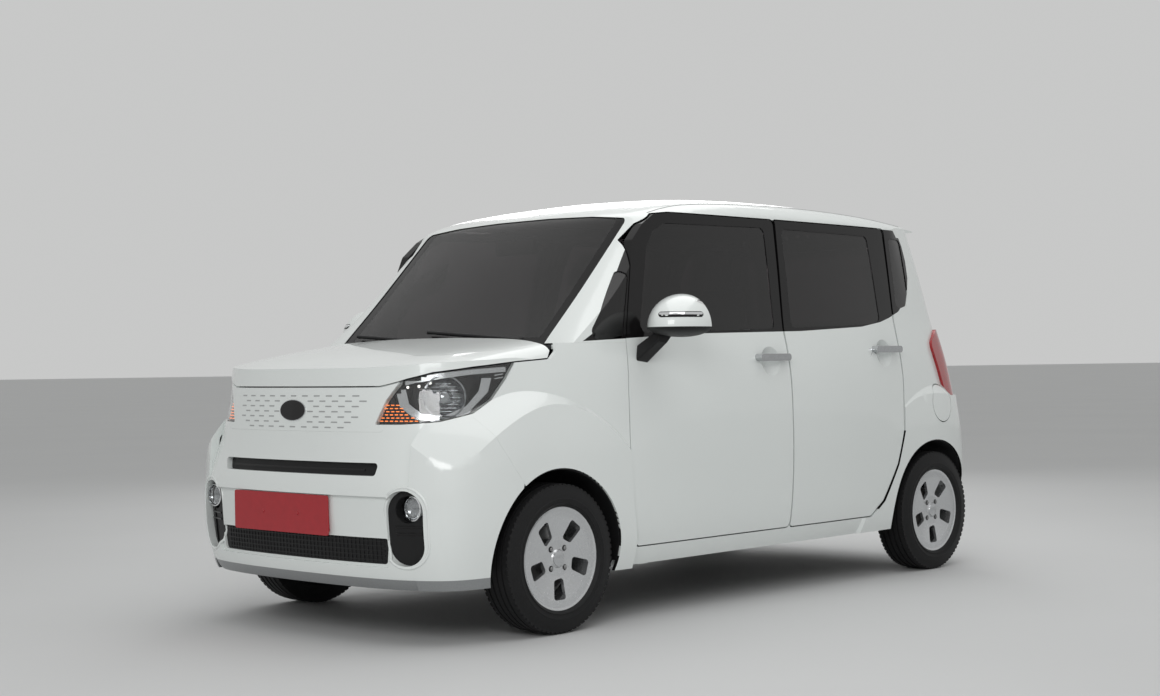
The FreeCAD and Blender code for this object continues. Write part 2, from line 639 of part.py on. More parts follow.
def make_front_end():
    """Bonnet, fenders, headlamps, front panel and bumper."""
    bonnet = skin("nose", 0, SKIN_THICKNESS, bonnet_region(0))
    save("bonnet", bonnet)

    lamp = lamp_region(0).common(Form.get("nose", GLASS_INSET)).cut(Form.get("nose", LAMP_DEPTH))
    x0, x1, y0, y1, z0, z1 = LAMP_FOOT_SHARES
    foot = box(at_x(x0), at_x(x1), -at_y(y1), -at_y(y0), at_z(z0), at_z(z1))
    foot = foot.common(Form.get("nose", BUMPER_THICKNESS + SEAT_GAP)).cut(Form.get("nose", LAMP_DEPTH))
    lamp = joined([lamp, foot])
    fog_y, fog_z = at_y(FOG_LAMP_SHARES[0]), at_z(FOG_LAMP_SHARES[1])
    fog_face = at_x(-.2222)
    fog = rod(V(fog_face, -fog_y, fog_z), V(fog_face + GRILLE_BACK, -fog_y, fog_z), FOG_LAMP_RADIUS)
    save("front_lamps", lamp, flipped(lamp), fog, flipped(fog))

    panel = skin("nose", 0, SKIN_THICKNESS, front_panel_region(0))
    panel = panel.cut(bonnet_region(PANEL_GAP))
    gap_lamps = [lamp_region(PANEL_GAP / 2), flipped(lamp_region(PANEL_GAP / 2))]
    panel = cut_all(panel, gap_lamps)
    save("front_panel", panel)

    fender_outline = prism(side_points(FENDER_SHARES), "side", -HALF_WIDTH - OVERRUN, -at_y(.5016))
    fender = skin("front", 0, SKIN_THICKNESS, fender_outline)
    door = prism(grown(side_points(FRONT_DOOR_SHARES), PANEL_GAP), "side", -HALF_WIDTH - OVERRUN, 0, DOOR_CORNER)
    fender = cut_all(fender, [FRONT_ARCHES[0], lamp_region(PANEL_GAP / 2), bonnet_region(PANEL_GAP),
                              bumper_region(SEAT_GAP), door])
    save("front_fenders", fender, flipped(fender))

    cover = skin("nose", 0, BUMPER_THICKNESS, bumper_region(0))
    cover = cut_all(cover, FRONT_ARCHES + gap_lamps + [bonnet_region(PANEL_GAP), front_panel_region(SEAT_GAP)])
    field = prism(front_points(mirrored_outline(PLATE_FIELD_SHARES)), "front", X_FRONT - OVERRUN, at_x(-.1786),
                  PLATE_FIELD_DEPTH)
    cover = cover.cut(field.cut(Form.get("nose", PLATE_FIELD_DEPTH)))
    openings = []
    for shares, radius in ((SLOT_GRILLE_SHARES, PLATE_FIELD_DEPTH), (LOWER_GRILLE_SHARES, PLATE_FIELD_DEPTH)):
        outline = front_points(mirrored_outline(shares))
        openings.append((outline, radius))
    fog_outline = front_points(FOG_SHARES)
    fog_radius = (fog_outline[1][0] - fog_outline[0][0]) / 2
    openings.append((fog_outline, fog_radius))
    openings.append(([(-y, z) for y, z in fog_outline], fog_radius))
    fillers, holes = [], []
    for outline, radius in openings:
        holes.append(prism(outline, "front", X_FRONT - OVERRUN, at_x(-.1706), radius))
        plug = prism(grown(outline, -SEAT_GAP), "front", X_FRONT - OVERRUN, at_x(-.1706), radius)
        fillers.append(plug.common(Form.get("nose", GRILLE_INSET)).cut(Form.get("nose", GRILLE_BACK)))
    cover = cut_all(cover, holes)
    fog_hole = [rod(V(fog_face - OVERRUN, side * fog_y, fog_z), V(fog_face + 2 * GRILLE_BACK, side * fog_y, fog_z),
                    FOG_LAMP_RADIUS + SEAT_GAP) for side in (LEFT, RIGHT)]
    fillers = [cut_all(f, fog_hole) for f in fillers]
    save("front_bumper", cover)
    save("bumper_grilles", *fillers)

    py_, pz_ = at_y(PLATE_CENTRE_SHARES[0]), at_z(PLATE_CENTRE_SHARES[1])
    face_x = X_FRONT + PLATE_FIELD_DEPTH
    half, tall = PLATE_WIDTH / 2, PLATE_HEIGHT / 2
    outline = [(py_ - half, pz_ - tall), (py_ + half, pz_ - tall), (py_ + half, pz_ + tall), (py_ - half, pz_ + tall)]
    plate = prism(outline, "front", face_x - PLATE_BRACKET, face_x - PLATE_BRACKET + PLATE_THICKNESS, PLATE_BRACKET)
    backing = prism(grown(outline, -PLATE_BRACKET), "front", face_x - PLATE_BRACKET + PLATE_THICKNESS,
                    face_x + OVERRUN, PLATE_BRACKET)
    backing = backing.cut(Form.get("nose", PLATE_FIELD_DEPTH - SEAT_GAP))
    holes = [rod(V(X_FRONT - OVERRUN, py_ + side * PLATE_BOLT_SPACING / 2, pz_),
                 V(X_FRONT + OVERRUN, py_ + side * PLATE_BOLT_SPACING / 2, pz_), PLATE_BOLT_RADIUS) for side in (-1, 1)]
    save("number_plate", cut_all(joined([plate, backing]), holes))


def door_ring(outline):
    """The flange inside a door's edge, which the door laps over."""
    outer = prism(grown(outline, DOOR_RING), "side", -HALF_WIDTH, -HALF_WIDTH / 2, DOOR_CORNER)
    inner = prism(grown(outline, -DOOR_LAP), "side", -HALF_WIDTH, -HALF_WIDTH / 2, DOOR_CORNER)
    depth = DOOR_THICKNESS + PANEL_GAP
    band = outer.common(Form.get("cabin", depth)).cut(Form.get("cabin", depth + DOOR_RING))
    return band.cut(inner)


def door_space(outline):
    """The space of a door and its flange, which the floor stays out of."""
    slab = prism(grown(outline, DOOR_RING + SEAT_GAP), "side", -HALF_WIDTH - OVERRUN, -HALF_WIDTH / 2, DOOR_CORNER)
    return slab.cut(Form.get("cabin", DOOR_THICKNESS + PANEL_GAP + DOOR_RING + SEAT_GAP))


def door_outlines():
    """The front and rear door, seen from the side."""
    rear = [(x + PANEL_GAP, z) for x, z in side_points(REAR_DOOR_FRONT_SHARES)]
    return side_points(FRONT_DOOR_SHARES), rear + side_points(REAR_DOOR_BACK_SHARES)


def swung_doorways(doorway, hinge):
    """A doorway turned as its door turns, so that the door's inner edge clears what lies behind it."""
    swung = []
    for angle in SWING_ANGLES:
        turned = doorway.copy()
        turned.rotate(V(at_x(hinge), -HALF_WIDTH, 0), V(0, 0, 1), -angle)
        swung.append(turned)
    return swung


def hinge_pillar():
    """The box ahead of the front door, behind the fender."""
    outline = side_points(HINGE_PILLAR_SHARES)
    block = prism(outline, "side", -HALF_WIDTH, -HALF_WIDTH / 2)
    return block.common(Form.get("plain", SKIN_THICKNESS + SEAT_GAP)).cut(Form.get("plain", SIDE_THICKNESS))


def gate_buffer():
    """A stop on the side frame, which the closed tailgate rests on."""
    x, outer, inner, z = GATE_BUFFER_SHARES
    stop = rod(V(at_x(x), -at_y(outer), at_z(z)), V(at_x(x), -at_y(inner), at_z(z)), BUFFER_RADIUS)
    return stop.cut(tailgate_region(2 * SEAT_GAP))


def jack_pad(x):
    """A flat stiffened pad under the sill, where a jack lifts the car, at the length x."""
    return box(at_x(x) - JACK_PAD_LENGTH / 2, at_x(x) + JACK_PAD_LENGTH / 2, -at_y(JACK_OUTER_SHARE),
               -at_y(JACK_OUTER_SHARE) + JACK_PAD_WIDTH, at_z(SILL_SHARE) - JACK_PAD_DEPTH, at_z(SILL_SHARE) + JACK_PAD_DEPTH)


SWING_ANGLES = (2.2, 4.4)
FRONT_HINGE_SHARE = .1512
REAR_HINGE_SHARE = .5516
JACK_SHARES = (.2063, .7937)
JACK_OUTER_SHARE = .8928
JACK_PAD_LENGTH = 60.0
JACK_PAD_WIDTH = 34.0
JACK_PAD_DEPTH = 6.0
SILL_SHARE = .1247
HINGE_PILLAR_SHARES = [(.1048, .1259), (.1683, .1259), (.1552, .2647), (.1492, .3824), (.1504, .5176),
                       (.1552, .6329), (.1048, .6329)]
DOOR_RING = 30.0
DOOR_LAP = 34.0
GATE_BUFFER_SHARES = (1.1206, .8025, .7022, .4529)
BUFFER_RADIUS = 9.0


def make_sides():
    """Doors with their glass and mirrors, the side frames, roof, tailgate and fixed glass."""
    front_outline, rear_outline = door_outlines()
    front_door, front_glass = glazed(door_panel(front_outline), side_points(FRONT_GLASS_SHARES), "plain", HALF_WIDTH / 2)
    front_door = with_handle(front_door, FRONT_HANDLE_SHARES)
    save("front_door_left", front_door)
    save("front_door_right", flipped(front_door))
    save("front_door_left_glass", front_glass)
    save("front_door_right_glass", flipped(front_glass))
    reach = (-HALF_WIDTH - OVERRUN, -HALF_WIDTH / 2)
    doorways = [prism(grown(outline, PANEL_GAP), "side", *reach, DOOR_CORNER) for outline in door_outlines()]
    rear_door = cut_all(door_panel(rear_outline), swung_doorways(doorways[0], FRONT_HINGE_SHARE))
    rear_door, rear_glass = glazed(rear_door, side_points(REAR_GLASS_SHARES), "plain", HALF_WIDTH / 2)
    rear_door = with_handle(rear_door, REAR_HANDLE_SHARES)
    save("rear_door_left", rear_door)
    save("rear_door_left_glass", rear_glass)
    save("sliding_door", flipped(rear_door))
    left_mirror = mirror()
    save("mirror_left", left_mirror)
    save("mirror_right", flipped(left_mirror))

    whole = box(at_x(-.0317), X_REAR + OVERRUN, -HALF_WIDTH - OVERRUN, -at_y(.627), at_z(.1247), HEIGHT + OVERRUN)
    frame = whole.common(Form.get("rear", 0)).cut(Form.get("cabin", SIDE_THICKNESS))
    fender_zone = prism(grown(side_points(FENDER_SHARES), SEAT_GAP), "side", *reach)
    ahead = box(X_FRONT, at_x(.0992), -HALF_WIDTH - OVERRUN, 0, 0, at_z(.6282))
    tools = [roof_region(SEAT_GAP), screen_region(SEAT_GAP), tailgate_region(PANEL_GAP), rear_bumper_region(SEAT_GAP),
             tail_lamp_region(SEAT_GAP), fender_zone, ahead, bonnet_region(PANEL_GAP)]
    frame = cut_all(frame, doorways + tools + swung_doorways(doorways[1], REAR_HINGE_SHARE))
    frame = joined([frame, door_ring(front_outline), door_ring(rear_outline), hinge_pillar(), gate_buffer()]
                   + [jack_pad(x) for x in JACK_SHARES])
    frame = cut_all(frame, [FRONT_ARCHES[0], REAR_ARCHES[0]])
    frame, corner_glass = glazed(frame, side_points(CORNER_GLASS_SHARES), "cabin", HALF_WIDTH / 2)
    frame, quarter_glass = glazed(frame, side_points(QUARTER_GLASS_SHARES), "cabin", HALF_WIDTH / 2)
    flap_x, flap_z = at_x(FLAP_SHARES[0]), at_z(FLAP_SHARES[1])
    pocket = rod(V(flap_x, -HALF_WIDTH - OVERRUN, flap_z), V(flap_x, -HALF_WIDTH + FLAP_POCKET, flap_z),
                 FLAP_RADIUS + PANEL_GAP)
    left_frame = frame.cut(pocket)
    flap = rod(V(flap_x, -HALF_WIDTH - OVERRUN, flap_z), V(flap_x, 2 * FLAP_POCKET - HALF_WIDTH, flap_z), FLAP_RADIUS)
    save("fuel_flap", skin("rear", 0, FLAP_THICKNESS, flap))
    save("body_side_left", left_frame)
    save("body_side_right", flipped(frame))
    save("fixed_side_glass", corner_glass, flipped(corner_glass), quarter_glass, flipped(quarter_glass),
         flipped(rear_glass))

    roof = skin("cabin", 0, ROOF_THICKNESS, roof_region(0))
    roof = cut_all(roof, [screen_region(SEAT_GAP)] + doorways + [flipped(doorway) for doorway in doorways])
    save("roof_panel", roof)
    screen = skin("cabin", GLASS_INSET, GLASS_INSET + GLASS_THICKNESS, screen_region(0))
    screen = screen.common(box(at_x(.0238), X_REAR, -HALF_WIDTH, HALF_WIDTH, at_z(.6247) + SEAT_GAP, HEIGHT))
    save("windscreen", screen)

    gate = skin("cabin", 0, TAILGATE_THICKNESS, tailgate_region(0)).cut(rear_bumper_region(PANEL_GAP))
    gate = gate.cut(roof_region(PANEL_GAP))
    window = front_points(mirrored_outline(REAR_WINDOW_SHARES))
    hole = prism(window, "front", at_x(.9921), X_REAR + OVERRUN, GLASS_CORNER)
    pane = prism(grown(window, -SEAT_GAP), "front", at_x(.9921), X_REAR + OVERRUN, GLASS_CORNER)
    pocket = prism(front_points(mirrored_outline(PLATE_POCKET_SHARES)), "front", at_x(1.0317), X_REAR + OVERRUN,
                   GLASS_CORNER)
    gate = gate.cut(hole).cut(pocket.cut(Form.get("cabin", TAILGATE_THICKNESS / 2)))
    spoiler = prism(side_points(SPOILER_SHARES), "side", -at_y(.6646), at_y(.6646)).common(cabin_top(0))
    gate = joined([gate, spoiler])
    save("tailgate", gate)
    save("tailgate_glass", skin("cabin", GLASS_INSET, GLASS_INSET + GLASS_THICKNESS, pane))

    bumper = skin("rear", 0, BUMPER_THICKNESS, rear_bumper_region(0))
    bumper = bumper.common(box(X_FRONT, X_REAR + OVERRUN, -WIDTH, WIDTH, at_z(.1247), HEIGHT))
    bumper = cut_all(bumper, REAR_ARCHES)
    save("rear_bumper", bumper)
    lamp = tail_lamp_region(0).common(Form.get("cabin", -TAIL_LAMP_PROUD)).cut(Form.get("cabin", SIDE_THICKNESS))
    save("tail_lamps", lamp, flipped(lamp))


FLAP_SHARES = (1.0302, .4576)
FLAP_RADIUS = 86.0
FLAP_THICKNESS = 8.0
FLAP_POCKET = 72.0
TAIL_LAMP_PROUD = 12.0


# Cabin floor, firewall and the structure under the bonnet
FLOOR_SHARES = (.104, .8373, .1388)
REAR_FLOOR_SHARES = (.8294, 1.1488, .2529)
FIREWALL_SHARE = .0984
FIREWALL_THICKNESS = 14.0
COWL_SHARES = [(.0206, .6153), (.0206, .6247), (.0365, .6247), (.104, .6118), (.104, .6), (.0397, .6118)]
RAIL_SHARES = (.4715, .5517, .1941, .2471)
APRON_THICKNESS = 12.0
APRON_TOP_SHARE = .4706
NOSE_FRAME_SHARES = (-.2063, -.1905, .3765, .4118)
SLAM_SHARES = (-.2063, -.1905, .5517, .5, .5153)
STOP_SHARE = .3762
TOWER_PLATE = 26.0
FRONT_REACH_SHARE = .5643
REAR_REACH_SHARE = .7335

# Steering axis and strut
KINGPIN_FOOT_SHARES = (.8025, .1118)
KINGPIN_HEAD_SHARES = (.6834, .4706)
STRUT_RADIUS = 25.0
SPRING_RADIUS = 58.0
SPRING_FOOT_SHARE = .3471
BORE_CLEARANCE = 14.0
TOWER_WALL = 14.0
HUB_RADIUS = 38.0
UPRIGHT_SIZE = (90.0, 50.0, 200.0)
UPRIGHT_LIFT = 8.0
BALL_RADIUS = 20.0
STEERING_ARM = (120.0, 40.0)
STEERING_ARM_RADIUS = 12.0


def kingpin_point(side, height):
    """A point of the steering axis at this height."""
    (y0, z0), (y1, z1) = KINGPIN_FOOT_SHARES, KINGPIN_HEAD_SHARES
    part = (height - at_z(z0)) / (at_z(z1) - at_z(z0))
    return V(X_FRONT_AXLE, side * (at_y(y0) + (at_y(y1) - at_y(y0)) * part), height)


def make_structure():
    """Floor pan, firewall with towers and rails, arch liners, and pillars behind the doors."""
    inner = SIDE_THICKNESS + SEAT_GAP
    x0, x1, z0 = at_x(FLOOR_SHARES[0]), at_x(FLOOR_SHARES[1]), at_z(FLOOR_SHARES[2])
    x2, x3, z1 = at_x(REAR_FLOOR_SHARES[0]), at_x(REAR_FLOOR_SHARES[1]), at_z(REAR_FLOOR_SHARES[2])
    rear_half = at_y(REAR_REACH_SHARE) - SEAT_GAP
    flat = box(x0, x1, -HALF_WIDTH, HALF_WIDTH, z0, z0 + FLOOR_THICKNESS)
    flat = flat.common(Form.get("plain", inner))
    riser = box(x2, x2 + FLOOR_THICKNESS, -rear_half, rear_half, z0, z1 + FLOOR_THICKNESS)
    rear = box(x2, x3, -rear_half, rear_half, z1, z1 + FLOOR_THICKNESS).common(Form.get("plain", inner))
    spaces = [door_space(outline) for outline in door_outlines()]
    spaces += [flipped(space) for space in spaces]
    save("floor_pan", cut_all(joined([flat, riser, rear]), FRONT_ARCHES + spaces))

    wall_x = at_x(FIREWALL_SHARE)
    wall = box(wall_x, wall_x + FIREWALL_THICKNESS, -HALF_WIDTH, HALF_WIDTH, z0, at_z(.6118))
    cowl = prism(side_points(COWL_SHARES), "side", -at_y(.8652), at_y(.8652))
    wall = cut_all(wall.common(Form.get("plain", inner)), FRONT_ARCHES)
    y0, y1 = at_y(RAIL_SHARES[0]), at_y(RAIL_SHARES[1])
    frame_x = at_x(NOSE_FRAME_SHARES[0])
    pieces = [wall, cowl]
    bores = []
    top = at_z(KINGPIN_HEAD_SHARES[1]) + SEAT_GAP
    arch_top = AXLE_HEIGHT + ARCH_RADIUS
    bore = SPRING_RADIUS + BORE_CLEARANCE
    outer = at_y(KINGPIN_FOOT_SHARES[0]) + TOWER_WALL
    for side in (LEFT, RIGHT):
        low, high = sorted((side * y0, side * y1))
        pieces.append(box(frame_x, wall_x + FIREWALL_THICKNESS / 2, low, high, at_z(RAIL_SHARES[2]), at_z(RAIL_SHARES[3])))
        plate = sorted((side * (y1 - APRON_THICKNESS), side * y1))
        pieces.append(box(at_x(-.119), wall_x + FIREWALL_THICKNESS / 2, *plate, at_z(RAIL_SHARES[3]) - APRON_THICKNESS,
                          at_z(APRON_TOP_SHARE)))
        span = sorted((side * (y1 - APRON_THICKNESS), side * outer))
        pieces.append(box(X_FRONT_AXLE - bore - TOWER_WALL, X_FRONT_AXLE + bore + TOWER_WALL, *span, arch_top,
                          top + TOWER_PLATE))
        bores.append(rod(kingpin_point(side, AXLE_HEIGHT), kingpin_point(side, top), bore))
    beam = box(frame_x, at_x(NOSE_FRAME_SHARES[1]), -y1, y1, at_z(NOSE_FRAME_SHARES[2]), at_z(NOSE_FRAME_SHARES[3]))
    posts = []
    for side in (LEFT, RIGHT):
        low, high = sorted((side * y0, side * y1))
        posts.append(box(frame_x, at_x(NOSE_FRAME_SHARES[1]), low, high, at_z(RAIL_SHARES[2]), at_z(NOSE_FRAME_SHARES[3])))
    slam_x, slam_y = at_x(SLAM_SHARES[0]), at_y(SLAM_SHARES[2])
    panel = box(slam_x, at_x(SLAM_SHARES[1]), -slam_y, slam_y, at_z(SLAM_SHARES[3]), at_z(SLAM_SHARES[4]))
    stops = []
    for side in (LEFT, RIGHT):
        low, high = sorted((side * y0, side * (y0 + TOWER_PLATE)))
        posts.append(box(slam_x, at_x(SLAM_SHARES[1]), low, high, at_z(NOSE_FRAME_SHARES[2]), at_z(SLAM_SHARES[4])))
        stop_x, stop_y = (slam_x + at_x(SLAM_SHARES[1])) / 2, side * at_y(STOP_SHARE)
        stops.append(rod(V(stop_x, stop_y, at_z(SLAM_SHARES[3])), V(stop_x, stop_y, HEIGHT), BUFFER_RADIUS))
    stops = [stop.common(Form.get("nose", SKIN_THICKNESS + SEAT_GAP)) for stop in stops]
    bulkhead = cut_all(joined(pieces + [beam, panel] + posts + stops), bores)
    save("bulkhead", bulkhead)

    liners = []
    shell = ARCH_RADIUS - SEAT_GAP
    for axle_x, reach in ((X_FRONT_AXLE, FRONT_REACH_SHARE), (X_REAR_AXLE, REAR_REACH_SHARE)):
        for side in (LEFT, RIGHT):
            start = V(axle_x, side * at_y(reach), AXLE_HEIGHT)
            end = V(axle_x, side * HALF_WIDTH, AXLE_HEIGHT)
            liner = rod(start, end, shell).cut(rod(start - (end - start), end + (end - start), shell - ARCH_LINER))
            if axle_x == X_REAR_AXLE:
                wall_end = V(axle_x, side * (at_y(reach) + ARCH_LINER), AXLE_HEIGHT)
                disc = rod(start, wall_end, shell)
                disc = disc.common(box(X_FRONT, X_REAR, -WIDTH, WIDTH, z1, HEIGHT))
                liner = joined([liner, disc])
            keep = box(axle_x - WHEELBASE / 2, axle_x + WHEELBASE / 2, -WIDTH, WIDTH, at_z(.1412), HEIGHT)
            liner = liner.common(keep).common(Form.get("front" if axle_x == X_FRONT_AXLE else "rear", SKIN_THICKNESS / 2))
            if axle_x == X_FRONT_AXLE:
                liner = liner.cut(rod(kingpin_point(side, AXLE_HEIGHT), kingpin_point(side, top), bore))
            liners.append(liner)
    save("arch_liners", *liners)


# Running gear
DISC_SHARES = [
    (0, 0.20), (0.30, 0.20), (0.34, 0.12), (0.48, 0.10), (0.72, 0.20), (0.90, 0.34), (0.955, 0.42),
]


def rim(axle_x, side):
    """A cast wheel: revolved barrel and face, with windows and nut seats cut through."""
    half, wall = RIM_WIDTH / 2, RIM_WALL
    seat_r, drop_r = RIM_RADIUS * 0.913, RIM_RADIUS * 0.83
    pad = HUB_OFFSET
    face = [(0, pad + 2.2 * wall), (RIM_RADIUS * 0.155, pad + 2.2 * wall), (RIM_RADIUS * 0.18, pad + 1.4 * wall),
            (RIM_RADIUS * 0.34, pad + 1.3 * wall), (RIM_RADIUS * 0.56, pad + 2.3 * wall),
            (RIM_RADIUS * 0.80, pad + 3.4 * wall), (RIM_RADIUS * 0.93, half - 0.6 * wall), (RIM_RADIUS * 0.965, half),
            (RIM_RADIUS, half), (RIM_RADIUS, half - wall)]
    barrel = [(seat_r + 0.3 * wall, half - 1.6 * wall), (seat_r, half - 4 * wall), (drop_r, half - 6 * wall),
              (drop_r, 4.5 * wall - half), (seat_r, 2.6 * wall - half), (seat_r + 0.3 * wall, 1.4 * wall - half),
              (RIM_RADIUS, wall - half), (RIM_RADIUS, -half), (RIM_RADIUS - wall, -half),
              (seat_r - 0.8 * wall, 1.8 * wall - half), (drop_r - wall, 4.8 * wall - half),
              (drop_r - wall, pad - 2.2 * wall)]
    back = [(RIM_RADIUS * 0.72, pad + wall), (RIM_RADIUS * 0.52, pad - 0.2 * wall), (RIM_RADIUS * 0.34, pad - 1.2 * wall),
            (RIM_RADIUS * 0.32, pad), (0, pad)]
    centre = V(axle_x, side * WHEEL_PLANE, AXLE_HEIGHT)
    axis = V(0, side, 0)
    wheel = ring(face + barrel + back, centre, axis)
    cuts = []
    for i in range(WHEEL_WINDOWS):
        window = [(-RIM_RADIUS * 0.125, RIM_RADIUS * 0.37), (RIM_RADIUS * 0.115, RIM_RADIUS * 0.41),
                  (RIM_RADIUS * 0.17, RIM_RADIUS * 0.78), (-RIM_RADIUS * 0.15, RIM_RADIUS * 0.78)]
        tool = prism(window, "side", 0, RIM_WIDTH, 2 * wall)
        tool.rotate(V(0, 0, 0), V(0, 1, 0), (i + 0.5) * 360 / WHEEL_WINDOWS)
        if side == LEFT:
            tool = flipped(tool)
        tool.translate(centre)
        cuts.append(tool)
    for i in range(WHEEL_NUTS):
        angle = (i + 0.5) * 2 * math.pi / WHEEL_NUTS
        spot = centre + V(math.cos(angle), 0, math.sin(angle)) * (BOLT_CIRCLE / 2)
        cuts.append(rod(spot, spot + axis * RIM_WIDTH, 1.9 * wall))
    return cut_all(wheel, cuts)


def tyre(axle_x, side):
    """A tyre round its rim: rounded shoulders, side walls bulging past the flanges, hollow inside."""
    half, width = RIM_WIDTH / 2, TYRE_WIDTH / 2
    wall = RIM_WALL
    seat_r = RIM_RADIUS * 0.913
    tall = TYRE_RADIUS - RIM_RADIUS
    outer = [(seat_r + 0.3 * wall + SEAT_GAP, half - 3.4 * wall), (seat_r + 0.3 * wall + SEAT_GAP, half - 1.9 * wall),
             (RIM_RADIUS + 0.4 * wall, half - 1.3 * wall), (RIM_RADIUS + 0.8 * wall, half + 0.6 * wall),
             (RIM_RADIUS + 0.26 * tall, width - 0.2 * wall), (RIM_RADIUS + 0.45 * tall, width),
             (RIM_RADIUS + 0.80 * tall, width - wall), (RIM_RADIUS + 0.945 * tall, width - 2.9 * wall),
             (TYRE_RADIUS, width - 6 * wall)]
    inner = [(TYRE_RADIUS - 2.2 * wall, width - 6.2 * wall), (RIM_RADIUS + 0.75 * tall, width - 3 * wall),
             (RIM_RADIUS + 0.4 * tall, width - 2.2 * wall), (seat_r + 2.2 * wall, half - 3.4 * wall)]
    profile = outer + [(r, -a) for r, a in reversed(outer)] + [(r, -a) for r, a in inner[::-1]] + inner
    return ring(profile, V(axle_x, side * WHEEL_PLANE, AXLE_HEIGHT), V(0, side, 0))


def make_wheels():
    """Rims and tyres at the four corners."""
    for end, axle_x in (("front", X_FRONT_AXLE), ("rear", X_REAR_AXLE)):
        for name, side in (("left", LEFT), ("right", RIGHT)):
            save("rim_" + end + "_" + name, rim(axle_x, side))
            save("tyre_" + end + "_" + name, tyre(axle_x, side))


def knuckle(side):
    """Upright with hub, ball, steering arm, strut and spring on the steering axis."""
    foot = kingpin_point(side, at_z(KINGPIN_FOOT_SHARES[1]))
    head = kingpin_point(side, at_z(KINGPIN_HEAD_SHARES[1]))
    spring = kingpin_point(side, at_z(SPRING_FOOT_SHARE))
    length, depth, tall = UPRIGHT_SIZE
    inner_y = side * at_y(KINGPIN_FOOT_SHARES[0])
    outer_y = inner_y + side * depth
    y0, y1 = sorted((inner_y, outer_y))
    upright = box(X_FRONT_AXLE - length / 2, X_FRONT_AXLE + length / 2, y0, y1, AXLE_HEIGHT - tall / 2 + UPRIGHT_LIFT,
                  AXLE_HEIGHT + tall / 2 + UPRIGHT_LIFT)
    pad_y = side * (WHEEL_PLANE + HUB_OFFSET - SEAT_GAP)
    hub = rod(V(X_FRONT_AXLE, inner_y, AXLE_HEIGHT), V(X_FRONT_AXLE, pad_y, AXLE_HEIGHT), HUB_RADIUS)
    ball = Part.makeSphere(BALL_RADIUS, foot)
    stem = rod(foot, V(X_FRONT_AXLE, inner_y + side * BALL_RADIUS, AXLE_HEIGHT - tall / 4), BALL_RADIUS * 0.8)
    arm_root = V(X_FRONT_AXLE, inner_y + side * depth / 4, AXLE_HEIGHT - tall / 8)
    arm = rod(arm_root, arm_root + V(STEERING_ARM[0], -side * STEERING_ARM[1], 0), STEERING_ARM_RADIUS)
    strut = rod(kingpin_point(side, AXLE_HEIGHT + tall / 4), head, STRUT_RADIUS)
    clamp = rod(kingpin_point(side, AXLE_HEIGHT), kingpin_point(side, AXLE_HEIGHT + tall / 2), STRUT_RADIUS * 1.3)
    coil = rod(spring, head, SPRING_RADIUS)
    return joined([upright, hub, ball, stem, arm, strut, clamp, coil])


SUBFRAME_SHARES = (-.0754, .0873, .4665, .1176, .1412)
CONTROL_ARM_RADIUS = 18.0
MOUNT_RADIUS = 34.0
ENGINE_SHARES = (-.131, .0556, -.3887, .3386, .1765, .4706)
RADIATOR_SHARES = (-.173, .1706, .3765)
BEAM_SHARES = (.9524, .652, .1471)
BEAM_RADIUS = 32.0
TRAIL_PIVOT_SHARES = (.8532, .5893, .1882)
TRAIL_RADIUS = 27.0
REAR_SPRING_SHARES = (.9683, .6144)
TANK_SHARES = (.619, .8095, .4013, .1047)
TANK_CORNER = 24.0
DOWN_PIPE_SHARES = [(-.0992, .2508, .1765), (-.0992, .2508, .1012), (.0992, .2508, .1012)]
PIPE_SHARES = [(.1667, .1153), (.8452, .1153), (.9087, .2029), (1.0476, .2029)]
PIPE_SIDE_SHARE = .4915
PIPE_RADIUS = 24.0
MUFFLER_SHARES = (1.0397, 1.131, .2884, .627, .1576, .2382)
TAIL_PIPE_SHARES = [(1.1111, .1765), (1.1294, .12)]
HANGER = 16.0
HANGER_SHARES = (.2063, .4365, .754)
BLOCK_CORNER = 30.0


def slab(shares, corner):
    """A block with rounded upright edges, from x, x, y, y, z, z shares."""
    x0, x1, y0, y1, z0, z1 = shares
    outline = [(at_x(x0), at_y(y0)), (at_x(x1), at_y(y0)), (at_x(x1), at_y(y1)), (at_x(x0), at_y(y1))]
    return prism(outline, "top", at_z(z0), at_z(z1), corner)


